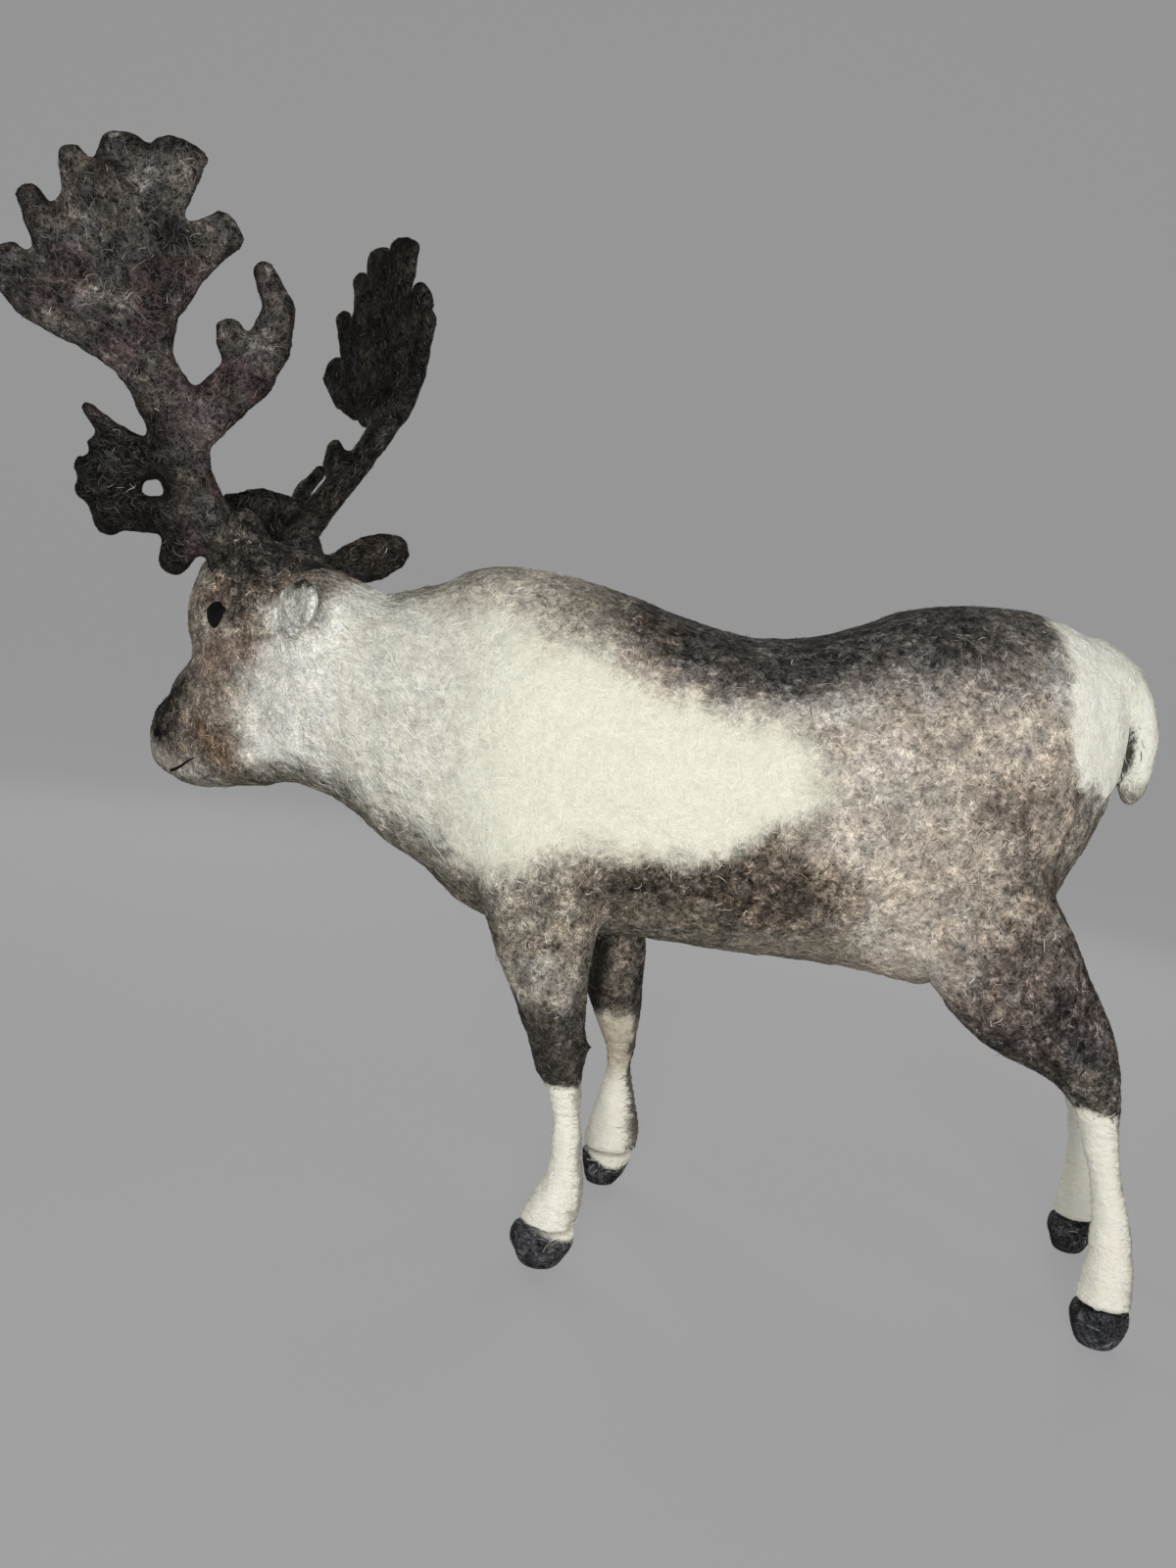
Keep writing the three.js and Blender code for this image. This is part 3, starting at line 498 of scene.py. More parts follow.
def fused_nodes(nodes, grow, lumps):
    """Copies of CAD nodes in one mesh, each pushed out a little so that the saw cuts close.

    A lump joins two balls, each given by its middle in figure millimetres and its radius.
    """
    joined = bmesh.new()
    for start, first, end, last in lumps:
        for share in np.linspace(0, 1, BALLS_IN_LUMP):
            place = Matrix.Translation(Vector(to_frame(start + share * (end - start))))
            radius = (first + share * (last - first)) * MM
            bmesh.ops.create_icosphere(joined, subdivisions=3, radius=radius, matrix=place)
    for node in nodes:
        part = bmesh.new()
        part.from_mesh(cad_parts[node].data)
        bmesh.ops.remove_doubles(part, verts=part.verts, dist=1e-6)
        part.normal_update()
        for vert in part.verts:
            vert.co += vert.normal * grow * MM
        copy = mesh_of(node, part)
        joined.from_mesh(copy)
        bpy.data.meshes.remove(copy)
    return mesh_of("fused", joined)


def evaluated(obj):
    """The object's mesh with its modifiers applied, and the object with none left."""
    bpy.context.view_layer.update()
    graph = bpy.context.evaluated_depsgraph_get()
    mesh = bpy.data.meshes.new_from_object(obj.evaluated_get(graph))
    old = obj.data
    obj.modifiers.clear()
    obj.data = mesh
    bpy.data.meshes.remove(old)
    return mesh


def read(items, name, width, kind=np.float32):
    """One property of a mesh's items, a row for each item."""
    flat = np.empty(len(items) * width, kind)
    items.foreach_get(name, flat)
    return flat.reshape(-1, width)


def coordinates(mesh):
    return read(mesh.vertices, "co", 3).astype(float)


def normals_of(mesh):
    return read(mesh.vertex_normals, "vector", 3).astype(float)


def set_coordinates(mesh, points):
    mesh.vertices.foreach_set("co", points.astype(np.float32).ravel())
    mesh.update()


def push_out(mesh, push):
    """Moves each point of a skin along its normal, by its own push in millimetres."""
    set_coordinates(mesh, coordinates(mesh) + normals_of(mesh) * (push * MM)[:, None])


def relax(mesh, weights, rounds):
    """Evens out the facets: each vertex moves towards its neighbours by its own weight."""
    start, end = read(mesh.edges, "vertices", 2, np.int32).T
    points = coordinates(mesh)
    count = len(points)
    degree = np.bincount(start, minlength=count) + np.bincount(end, minlength=count)
    for _ in range(rounds):
        total = np.stack([
            np.bincount(start, points[end, axis], count) + np.bincount(end, points[start, axis], count)
            for axis in range(3)
        ], axis=1)
        points += weights[:, None] * (total / degree[:, None] - points)
    set_coordinates(mesh, points)


def tree_of(nodes):
    """A search tree over the faces of CAD nodes, and for each face its node's index."""
    corners = []
    faces = []
    owners = []
    for index, node in enumerate(nodes):
        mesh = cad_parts[node].data
        mesh.calc_loop_triangles()
        first = len(corners)
        corners += [vert.co.copy() for vert in mesh.vertices]
        faces += [tuple(first + corner for corner in face.vertices) for face in mesh.loop_triangles]
        owners += [index] * len(mesh.loop_triangles)
    return BVHTree.FromPolygons(corners, faces), owners


def nearest_nodes(points, nodes):
    """Which of the CAD nodes lies nearest to each point, as an index into nodes."""
    tree, owners = tree_of(nodes)
    return np.array([owners[tree.find_nearest(point)[2]] for point in points.tolist()])


def felt_skin(name, nodes, softness, voxel, rounds, lumps=()):
    """One closed felt surface over several CAD nodes; softness(names, points) weighs its relaxing."""
    grow = 0.75 * CAD_GAP
    obj = add_object(name, fused_nodes(nodes, grow, lumps))
    remesh = obj.modifiers.new("remesh", "REMESH")
    remesh.mode = "VOXEL"
    remesh.voxel_size = voxel * MM
    mesh = evaluated(obj)
    labels = nearest_nodes(coordinates(mesh), nodes)
    relax(mesh, softness(np.array(nodes)[labels], to_figure(coordinates(mesh))), rounds)
    subdivide = obj.modifiers.new("subdivide", "SUBSURF")
    subdivide.levels = 1
    subdivide.render_levels = 1
    mesh = evaluated(obj)
    set_coordinates(mesh, coordinates(mesh) - normals_of(mesh) * grow * MM)
    shade_smooth(mesh)
    return obj, nearest_nodes(coordinates(mesh), nodes)


def paint(mesh, coat):
    """Stores a coat on a mesh for its material to read."""
    colors = mesh.color_attributes.new("coat", "FLOAT_COLOR", "POINT")
    rgba = np.ones((len(mesh.vertices), 4), np.float32)
    rgba[:, :3] = coat.color
    colors.data.foreach_set("color", rgba.ravel())
    for name, values in (("blend", coat.blend), ("grain", coat.grain)):
        layer = mesh.attributes.new(name, "FLOAT", "POINT")
        layer.data.foreach_set("value", values.astype(np.float32))


# Materials
class Nodes:
    """A few short ways to build a node tree."""

    def __init__(self, name):
        self.material = bpy.data.materials.new(name)
        self.material.use_nodes = True
        self.tree = self.material.node_tree
        self.shader = self.tree.nodes["Principled BSDF"]

    def feed(self, socket, value):
        """Links a value that comes from another node, or sets it."""
        if isinstance(value, bpy.types.NodeSocket):
            self.tree.links.new(value, socket)
        else:
            socket.default_value = value

    def add(self, kind, inputs=(), **settings):
        node = self.tree.nodes.new(kind)
        for key, value in settings.items():
            setattr(node, key, value)
        for key, value in dict(inputs).items():
            self.feed(node.inputs[key], value)
        return node

    def attribute(self, name, output="Fac"):
        return self.add("ShaderNodeAttribute", attribute_name=name).outputs[output]

    def math(self, operation, first, second):
        return self.add("ShaderNodeMath", {0: first, 1: second}, operation=operation).outputs[0]

    def ramp(self, value, low, high, to_low=0.0, to_high=1.0):
        """value from low to high, as a smooth step from to_low to to_high."""
        inputs = {"Value": value, "From Min": low, "From Max": high, "To Min": to_low, "To Max": to_high}
        return self.add("ShaderNodeMapRange", inputs, interpolation_type="SMOOTHSTEP").outputs["Result"]

    def ridge(self, value, width):
        """1 along the lines where a noise passes its middle, 0 away from them."""
        away = self.math("ABSOLUTE", self.math("SUBTRACT", value, 0.5), 0.0)
        return self.ramp(away, 0.0, width, 1.0, 0.0)

    def mix(self, factor, first, second, blend="MIX"):
        node = self.add("ShaderNodeMix", data_type="RGBA", blend_type=blend)
        for index, value in ((0, factor), (6, first), (7, second)):
            self.feed(node.inputs[index], value)
        return node.outputs[2]

    def set(self, **inputs):
        for key, value in inputs.items():
            self.feed(self.shader.inputs[key.replace("_", " ")], value)


def felt_material(name, tuft=1.3, relief=0.3):
    """Matted wool: tufts and single hairs, lighter and darker than the coat, on a pocked skin."""
    nodes = Nodes(name)
    place = nodes.add("ShaderNodeTexCoord").outputs["Object"]
    coat = nodes.attribute("coat", "Color")
    blend = nodes.attribute("blend")
    field = nodes.add("ShaderNodeTexNoise", {
        "Vector": place, "Scale": 1 / (tuft * MM), "Detail": 3, "Roughness": 0.7, "Distortion": 0.5})
    parts = nodes.add("ShaderNodeSeparateColor", {"Color": field.outputs["Color"]})
    fine = nodes.add("ShaderNodeTexNoise", {
        "Vector": place, "Scale": 1 / (0.4 * MM), "Detail": 2, "Roughness": 0.7, "Distortion": 1.5})
    grain = nodes.attribute("grain")
    tufts = nodes.ramp(parts.outputs["Red"], 0.32, 0.68, 0.45, 1.6)
    light_line = nodes.math("MULTIPLY", nodes.ridge(parts.outputs["Green"], 0.035), 0.5)
    dark_line = nodes.math("MULTIPLY", nodes.ridge(parts.outputs["Blue"], 0.035), -0.35)
    mixture = nodes.math("POWER", nodes.math("ADD", tufts, nodes.math("ADD", light_line, dark_line)), blend)
    flecks = nodes.math("POWER", nodes.ramp(fine.outputs["Fac"], 0.3, 0.7, 0.7, 1.3), grain)
    shade = nodes.math("MULTIPLY", mixture, flecks)
    tone = nodes.add("ShaderNodeCombineColor", {"Red": shade, "Green": shade, "Blue": shade}).outputs[0]
    nodes.set(Base_Color=nodes.mix(1, coat, tone, "MULTIPLY"))
    height = nodes.math("ADD", fine.outputs["Fac"], nodes.math("MULTIPLY", parts.outputs["Red"], 1.8))
    bump = nodes.add("ShaderNodeBump", {"Height": height, "Strength": 1.0, "Distance": relief * MM})
    nodes.set(Normal=bump.outputs[0], Roughness=0.95, Specular_IOR_Level=0.1)
    return nodes.material


def fibre_material(name, rough=0.75, shine=0.2):
    nodes = Nodes(name)
    coat = nodes.attribute("coat", "Color")
    nodes.set(Base_Color=coat, Roughness=rough, Specular_IOR_Level=shine)
    return nodes.material


def bead_material():
    nodes = Nodes("bead")
    place = nodes.add("ShaderNodeTexCoord").outputs["Object"]
    haze = nodes.add("ShaderNodeTexNoise", {"Vector": place, "Scale": 900, "Detail": 3})
    nodes.set(Base_Color=nodes.mix(haze.outputs["Fac"], (0.002, 0.002, 0.002, 1), (0.006, 0.005, 0.005, 1)))
    nodes.set(Roughness=nodes.ramp(haze.outputs["Fac"], 0.3, 0.7, 0.42, 0.6), Specular_IOR_Level=0.15)
    return nodes.material


# Fibres
class Surface:
    """A skin to lay fibres on: it gives the nearest place, and the skin's normal there."""

    def __init__(self, mesh):
        faces = read(mesh.polygons, "vertices", 4, np.int32)
        self.tree = BVHTree.FromPolygons(coordinates(mesh).tolist(), faces.tolist())
        self.corner = faces[:, 0]
        self.normals = unit(normals_of(mesh)[faces].sum(axis=1))

    def find(self, points):
        hits = [self.tree.find_nearest(point) for point in points.tolist()]
        places = np.array([hit[0].to_tuple() for hit in hits])
        return places, self.normals[[hit[2] for hit in hits]]

    def corners_near(self, points):
        return self.corner[[self.tree.find_nearest(point)[2] for point in points.tolist()]]


class Fibres:
    """Fibres on a skin: where each is rooted, which way the skin faces there, and its wool."""

    def __init__(self, skin, labels, nodes, density, rng):
        mesh = skin.data
        mesh.calc_loop_triangles()
        corners = read(mesh.loop_triangles, "vertices", 3, np.int32)
        points = coordinates(mesh)
        normals = normals_of(mesh)
        edges = points[corners[:, 1:]] - points[corners[:, :1]]
        area = np.linalg.norm(np.cross(edges[:, 0], edges[:, 1]), axis=1) / 2 / MM**2
        share = area * density(np.array(nodes)[labels[corners[:, 0]]])
        count = int(share.sum())
        chosen = rng.choice(len(corners), size=count, p=share / share.sum())
        weights = rng.dirichlet((1, 1, 1), count)
        picked = corners[chosen]
        self.surface = Surface(mesh)
        self.root = (points[picked] * weights[:, :, None]).sum(axis=1)
        self.normal = unit((normals[picked] * weights[:, :, None]).sum(axis=1))
        source = self.surface.corners_near(self.root + rng.normal(0, WOOL_SPREAD * MM, self.root.shape))
        self.color = read(mesh.color_attributes["coat"].data, "color", 4)[source, :3]
        blend = read(mesh.attributes["blend"].data, "value", 1)[source, 0]
        grain = read(mesh.attributes["grain"].data, "value", 1)[source, 0]
        self.spread = 0.34 * blend + 0.16 * grain
        self.node = np.array(nodes)[labels[picked[:, 0]]]


# The six sides of a skin's box lie on a sheet of 3 by 2 cells, each with a margin in its cell
UNWRAP_MARGIN = 0.04
UNWRAP_FILL = 0.9


def box_unwrap(root, normal, low, size):
    """The place of each root on a box unwrap of its skin."""
    axis = np.abs(normal).argmax(axis=1)
    facing = np.take_along_axis(normal, axis[:, None], 1)[:, 0] > 0
    flat = (root - low) / size
    across = np.where(axis == 0, flat[:, 1], flat[:, 0])
    up = np.where(axis == 2, flat[:, 1], flat[:, 2])
    column = (axis + UNWRAP_MARGIN + UNWRAP_FILL * across) / 3
    row = (facing + UNWRAP_MARGIN + UNWRAP_FILL * up) / 2
    return np.stack((column, row), axis=1)


def lay_paths(surface, root, normal, heading, stride, bend, rng):
    """Rows of joints that follow the skin, each turned a little from the one before."""
    points = [root]
    normals = [normal]
    for _ in range(SEGMENTS):
        turn = bend + rng.normal(0, 0.2, len(root))
        side = np.cross(normals[-1], heading)
        heading = heading * np.cos(turn)[:, None] + side * np.sin(turn)[:, None]
        place, facing = surface.find(points[-1] + heading * stride[:, None])
        heading = unit(heading - facing * (heading * facing).sum(axis=1)[:, None])
        points.append(place)
        normals.append(facing)
    return np.stack(points, axis=1), np.stack(normals, axis=1)


def quad_mesh(name, verts, faces):
    mesh = bpy.data.meshes.new(name)
    mesh.vertices.add(len(verts))
    mesh.loops.add(faces.size)
    mesh.polygons.add(len(faces))
    mesh.vertices.foreach_set("co", verts.astype(np.float32).ravel())
    mesh.loops.foreach_set("vertex_index", faces.ravel().astype(np.int32))
    mesh.polygons.foreach_set("loop_start", np.arange(0, faces.size, 4, dtype=np.int32))
    mesh.update(calc_edges=True)
    return mesh


def add_fibres(name, fibres, chosen, flow, lie, material, rng):
    """Joined ribbons laid on the skin along flow; a few rise from it."""
    root = fibres.root[chosen]
    normal = fibres.normal[chosen]
    count = len(root)
    if not count:
        return None
    along = unit(flow - normal * (flow * normal).sum(axis=1)[:, None])
    side = np.cross(normal, along)
    turn = rng.normal(0, lie.scatter, count)
    heading = along * np.cos(turn)[:, None] + side * np.sin(turn)[:, None]
    stride = lie.length * rng.uniform(0.45, 1.4, count) * MM / SEGMENTS
    bend = rng.normal(0, lie.curl, count)
    path, facing = lay_paths(fibres.surface, root, normal, heading, stride, bend, rng)
    height = lie.height * rng.gamma(2, 0.5, count)
    stray = rng.random(count) < lie.stray
    profile = np.where(stray[:, None], STRAY_PROFILE, LYING_PROFILE) * height[:, None] - FIBRE_SINK
    path += facing * (profile * MM)[:, :, None]
    path[:, :, 2] = np.maximum(path[:, :, 2], FIBRE_LOWEST * MM)
    tangent = unit(np.gradient(path, axis=1))
    across = unit(np.cross(tangent, facing))
    roll = rng.normal(0, 0.35, count)[:, None, None]
    across = across * np.cos(roll) + facing * np.sin(roll)
    width = lie.width * np.exp(rng.normal(0, 0.25, count))[:, None] * WIDTH_PROFILE
    half = across * (width * MM / 2)[:, :, None]
    verts = np.stack((path - half, path + half), axis=2).reshape(-1, 3)
    per = 2 * (SEGMENTS + 1)
    quads = np.array([(2 * i, 2 * i + 1, 2 * i + 3, 2 * i + 2) for i in range(SEGMENTS)])
    faces = (np.arange(count)[:, None, None] * per + quads).reshape(-1, 4)
    mesh = quad_mesh(name, verts, faces)
    colors = np.ones((count, 4))
    spread = fibres.spread[chosen]
    shade = np.exp(rng.normal(0, 0.04, count) + rng.normal(0, 1, count) * spread - spread**2 / 2)
    colors[:, :3] = np.clip(fibres.color[chosen] * shade[:, None], 0.005, 0.85)
    layer = mesh.color_attributes.new("coat", "FLOAT_COLOR", "POINT")
    layer.data.foreach_set("color", np.repeat(colors, per, axis=0).astype(np.float32).ravel())
    low = root.min(axis=0)
    size = (root.max(axis=0) - low).max()
    steps = np.repeat(np.linspace(0, 1, SEGMENTS + 1), 2)
    corner = np.stack((np.tile((0.0, 1.0), SEGMENTS + 1), steps), axis=1) * TUFT_PATCH
    places = (box_unwrap(root, normal, low, size)[:, None, :] + corner[None]).reshape(-1, 2)
    uv = mesh.uv_layers.new(name="OFBake")
    uv.data.foreach_set("uv", places[faces.ravel()].astype(np.float32).ravel())
    mesh.materials.append(material)
    obj = add_object(name, mesh)
    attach(obj, "root")
    return obj


def add_coat(name, fibres, chosen, flow, lie, material, rng):
    """Fibres in pieces of a size that the library takes, split along the figure."""
    index = np.flatnonzero(chosen)
    index = index[np.argsort(fibres.root[index, 0])]
    pieces = max(1, math.ceil(len(index) / MOST_FIBRES))
    for number, part in enumerate(np.array_split(index, pieces)):
        piece = add_fibres(f"{name}_{number + 1}", fibres, part, flow[part], lie, material, rng)


# Lights, as (name, where it stands, what it faces, its width in metres, its watts): a soft key near the
# camera, a weak fill for the rump, and two low lights for the far side
LIGHTS = [
    ("key", (-10, -450, 195), (15, 0, 112), 0.15, 1.74),
    ("fill", (470, -400, 110), (120, 0, 80), 0.3, 0.75),
    ("far_left", (-300, 520, 380), (0, 0, 110), 0.4, 1.3),
    ("far_right", (300, 520, 380), (0, 0, 110), 0.4, 1.3),
]
WORLD_STRENGTH = 0.085
# The sweep is floor from front to back, then a bend, then a wall
SWEEP_WIDTH = 5200
SWEEP_FRONT = -1200
SWEEP_BACK = 800
SWEEP_BEND = 400
SWEEP_TOP = 2600
SWEEP_GLOW = 0.287


def add_light(name, at, aim, size, watts):
    data = bpy.data.lights.new(name, "AREA")
    data.size = size
    data.energy = watts
    light = add_object(name, data)
    place = Vector(to_frame(at))
    away = place - Vector(to_frame(aim))
    light.matrix_world = Matrix.Translation(place) @ away.to_track_quat("Z", "Y").to_matrix().to_4x4()


def add_studio():
    """A plain pale sweep under soft lights."""
    floor = bmesh.new()
    profile = [(SWEEP_FRONT, 0.0), (SWEEP_BACK, 0.0)]
    for turn in np.linspace(0.1, math.pi / 2, 14):
        profile.append((SWEEP_BACK + SWEEP_BEND * math.sin(turn), SWEEP_BEND - SWEEP_BEND * math.cos(turn)))
    profile.append((SWEEP_BACK + SWEEP_BEND, SWEEP_TOP))
    half = SWEEP_WIDTH / 2
    rows = [[floor.verts.new(Vector((x * MM, y * MM, z * MM))) for x in (-half, half)] for y, z in profile]
    for low, high in zip(rows, rows[1:]):
        floor.faces.new((low[0], low[1], high[1], high[0]))
    sweep = add_object("sweep", mesh_of("sweep", floor))
    nodes = Nodes("sweep")
    nodes.set(Base_Color=(0.08, 0.08, 0.08, 1), Roughness=0.9, Specular_IOR_Level=0.1)
    nodes.set(Emission_Color=(1, 1, 1, 1), Emission_Strength=SWEEP_GLOW)
    sweep.data.materials.append(nodes.material)
    shade_smooth(sweep.data)
    for light in LIGHTS:
        add_light(*light)
    world = bpy.data.worlds.new("studio")
    world.use_nodes = True
    background = world.node_tree.nodes["Background"]
    background.inputs["Color"].default_value = (1, 1, 1, 1)
    background.inputs["Strength"].default_value = WORLD_STRENGTH
    bpy.context.scene.world = world
    bpy.context.scene.view_settings.view_transform = "Standard"


def body_softness(names, points):
    """How freely each part relaxes: most where the cheek and ear run into the neck."""
    weights = np.full(len(names), 0.2)
    weights[np.isin(names, ("torso", "neck", "ear_left"))] = 0.4
    weights[np.char.endswith(names, "cannon")] = 0.06
    s, _, z = to_head(points).T
    jowl = ease(s, 8, -6) * ease(s, -26, 8) * ease(z, 140, -6)
    fused = np.isin(names, ("head", "neck"))
    return weights + fused * jowl * (0.9 - weights)


def even_softness(names, points):
    return np.full(len(names), 0.3)


# From one turn of wool to the next on a cannon
WRAP_PITCH = 2.1
# The crease between tail and rump: its depth, how far from the other part it reaches, and its top
SEAM_DEPTH = 1.3
SEAM_REACH = 2.6
SEAM_TOP = 140


def shape_body(mesh, labels, seam):
    """Small lumps of hand felting, the turns of wool round the lower legs, and the tail's crease."""
    points = to_figure(coordinates(mesh))
    names = np.array(FLESH)[labels]
    calm = np.where(np.isin(names, ("torso", "neck")), 1.0, 0.45)
    lumps = 0.3 * noise(points, 9, 21) * calm + 0.22 * noise(points, 3.4, 22)
    lumps += 0.12 * noise(points, 1.7, 25)
    turns = np.sin(2 * math.pi * (points[:, 2] / WRAP_PITCH + 0.5 * noise(points, 7, 23)))
    wraps = 0.1 * turns + 0.34 * noise(points, 4.5, 24)
    push_out(mesh, np.where(np.char.endswith(names, "cannon"), wraps, lumps) - SEAM_DEPTH * seam)


def away_from(node, points):
    """Distance in millimetres from each point, in metres, to the surface of a CAD node."""
    tree, _ = tree_of([node])
    return np.array([tree.find_nearest(point)[3] for point in points.tolist()]) / MM


def tail_seam(metres, labels):
    """1 along the crease where the hanging tail lies against the rump, 0 elsewhere."""
    points = to_figure(metres)
    seam = np.zeros(len(points))
    for node, other in (("tail", "torso"), ("torso", "tail")):
        own = (labels == FLESH.index(node)) & (points[:, 0] > 104) & (points[:, 2] > 112)
        away = away_from(other, metres[own])
        seam[own] = ease(away, SEAM_REACH, -1.5) * ease(points[own, 2], SEAM_TOP, -4)
    return seam


# Fibres on a square millimetre, by the last word of a part's name: left and right are the ears
DENSITY = {"torso": 2.2, "neck": 2.6, "head": 4.6, "tail": 2.4, "left": 4.6, "right": 4.0, "upper": 2.2,
           "cannon": 3.0}


def body_density(names):
    density = np.zeros(len(names))
    for node in FLESH:
        density[names == node] = DENSITY[node.rsplit("_", 1)[-1]]
    return density


# The way the wool lies on each part, and how it looks there
LIES = {
    "torso": ((1.0, 0, -0.3), Lie(2.4, 0.11, 0.08, 0.4, 1.4, 0.01)),
    "neck": ((1.0, 0, -0.75), Lie(3.4, 0.13, 0.12, 0.15, 0.4, 0.02)),
    "head": ((0.8, -0.3, -0.35), Lie(1.8, 0.1, 0.08, 0.4, 1.0, 0.015)),
    "tail": ((0.3, 0, -1.0), Lie(3.0, 0.12, 0.1, 0.2, 0.4, 0.03)),
    "upper": ((0.3, 0, -1.0), Lie(2.5, 0.11, 0.08, 0.35, 1.0, 0.015)),
}
EAR_LIE = Lie(2.2, 0.11, 0.1, 0.3, 0.5, 0.03)
WRAP_LIE = Lie(2.8, 0.12, 0.1, 0.1, 0.3, 0.01)


def body_flow(node, fibres):
    """Which way each fibre of a part is laid, and its lie."""
    if node.endswith("cannon"):
        return np.cross(fibres.normal, (0.12, 0, 1.0)), WRAP_LIE
    if node.startswith("ear"):
        sign = 1 if node == "ear_left" else -1
        way = from_head(-21.5, sign * 12, 2) - from_head(0, 0, 0)
        lie = EAR_LIE
    else:
        way, lie = LIES[node.rsplit("_", 1)[-1]]
    return np.tile(way, (len(fibres.root), 1)), lie


# The roots of the antlers, the fill between cheek and neck, a tuft that stands out behind the near
# front knee, and the fuller front of the far foreleg above its cuff
PEDICLES = [(from_head(7, side * 5.5, 141), 6.5, from_head(13, side * 9.5, 155), 4.6) for side in (1, -1)]
JOWLS = [(from_head(ahead, 3.5, 104), 4.8, from_head(ahead, 6.1, 131), 4.8) for ahead in (-1.5, -6)]
SPUR = (np.array((7.0, -24.4, 51.6)), 1.5, np.array((10.4, -24.4, 51.0)), 0.9)
FULLER = (np.array((9.6, 17.6, 61)), 3.0, np.array((9.8, 18, 51)), 2.2)


def add_body(rng):
    lumps = PEDICLES + JOWLS + [SPUR, FULLER]
    skin, labels = felt_skin("felt_body", FLESH, body_softness, voxel=1.25, rounds=20, lumps=lumps)
    mesh = skin.data
    seam = tail_seam(coordinates(mesh), labels)
    shape_body(mesh, labels, seam)
    coat = flesh_coat(to_figure(coordinates(mesh)), normals_of(mesh), labels)
    # Painted shadow along the crease between tail and rump
    coat.lay(0.95 * ease(seam, 0.2, 0.4), srgb(44, 38, 30), 0.3)
    paint(mesh, coat)
    finish_piece(skin, felt_material("felt_body"), FLESH)
    fibres = Fibres(skin, labels, FLESH, body_density, rng)
    material = fibre_material("body_fibres")
    for node in FLESH:
        flow, lie = body_flow(node, fibres)
        add_coat("fibres_" + node, fibres, fibres.node == node, flow, lie, material, rng)
    return fibres.surface


def blades(points, labels):
    """Each piece of an antler: which points it has, the way its blade faces, and how flat it is."""
    for label in np.unique(labels):
        own = labels == label
        away = points[own] - points[own].mean(axis=0)
        spreads, axes = np.linalg.eigh(away.T @ away)
        yield own, axes[:, 0], 1 - np.sqrt(spreads[0] / spreads[1])


# Patches of the near antler, as (distance ahead of the head's pivot, z), and the one that both have
NEAR_ANTLER = [
    (0.6, [(20, 223, 4), (15, 217, 2), (11, 216, 3)], 6, 0, srgb(92, 88, 82), 0.9),
    (0.6, [(18, 184, 3), (17, 172, 3)], 5, 0, srgb(92, 80, 77), 0.9),
    (0.5, [(30, 191, 2), (38, 193, 2)], 5, 0, srgb(42, 36, 35), 0.9),
]
BOTH_ANTLERS = [(0.75, [(18, 214, 1.5), (21, 208, 1.5)], 4, 0, srgb(30, 27, 24), 0.8)]
# The share of an antler's fibres that are pale, and their wool: lighter strands that partly stand for a
# painted sheen; the far antler's are darker, painted shade
PALE_FIBRES = {"left": (0.02, srgb(112, 106, 102)), "right": (0.1, srgb(72, 68, 62))}
ANTLER_LIE = Lie(2.8, 0.1, 0.08, 0.35, 0.8, 0.006)


def antler_coat(points, normals, labels, side):
    # The far antler starts from darker wool than the near one: painted shade
    coat = Coat(len(points), ANTLER if side == "left" else ANTLER_DARK, 0.9)
    s, _, z = to_head(points).T
    if side == "left":
        plum = 0.8 * smooth_step(0.2 + 1.8 * noise(points, 8, 31)) * ease(z, 212, -10)
        coat.lay(plum, ANTLER_PLUM, 0.8)
        pale = 0.5 * smooth_step(0.2 + 1.8 * noise(points, 6, 33)) * ease(z, 176, 10)
        coat.lay(pale, ANTLER_PALE, 0.9)
    coat.lay(0.7 * smooth_step(0.3 + 1.8 * noise(points, 5, 34)), ANTLER_DARK, 0.8)
    coat.lay(0.95 * ease(z, 178, -10) * ease(s, 20, 4), srgb(18, 16, 14), 0.8)
    lay_patches(coat, s, z, 0, BOTH_ANTLERS)
    if side == "left":
        lay_patches(coat, s, z, 0, NEAR_ANTLER)
    else:
        # The far antler is painted darker again: painted shade
        coat.lay(np.full(len(points), 0.8), srgb(26, 24, 20), 1)
    # Painted shade: each flat blade is darker along its rims, where the skin turns away from its face
    for own, facing, flatness in blades(points, labels):
        edge = np.zeros(len(points))
        edge[own] = 0.7 * flatness * ease(np.abs(normals[own] @ facing), 0.75, -0.4)
        coat.lay(edge, srgb(30, 27, 24), 0.6)
    column = ease(z, 163, -8) * ease(s, 21, -4)
    coat.lay(0.8 * column, srgb(52, 49, 44), 0.8)
    coat.finish(points, 36)
    return coat


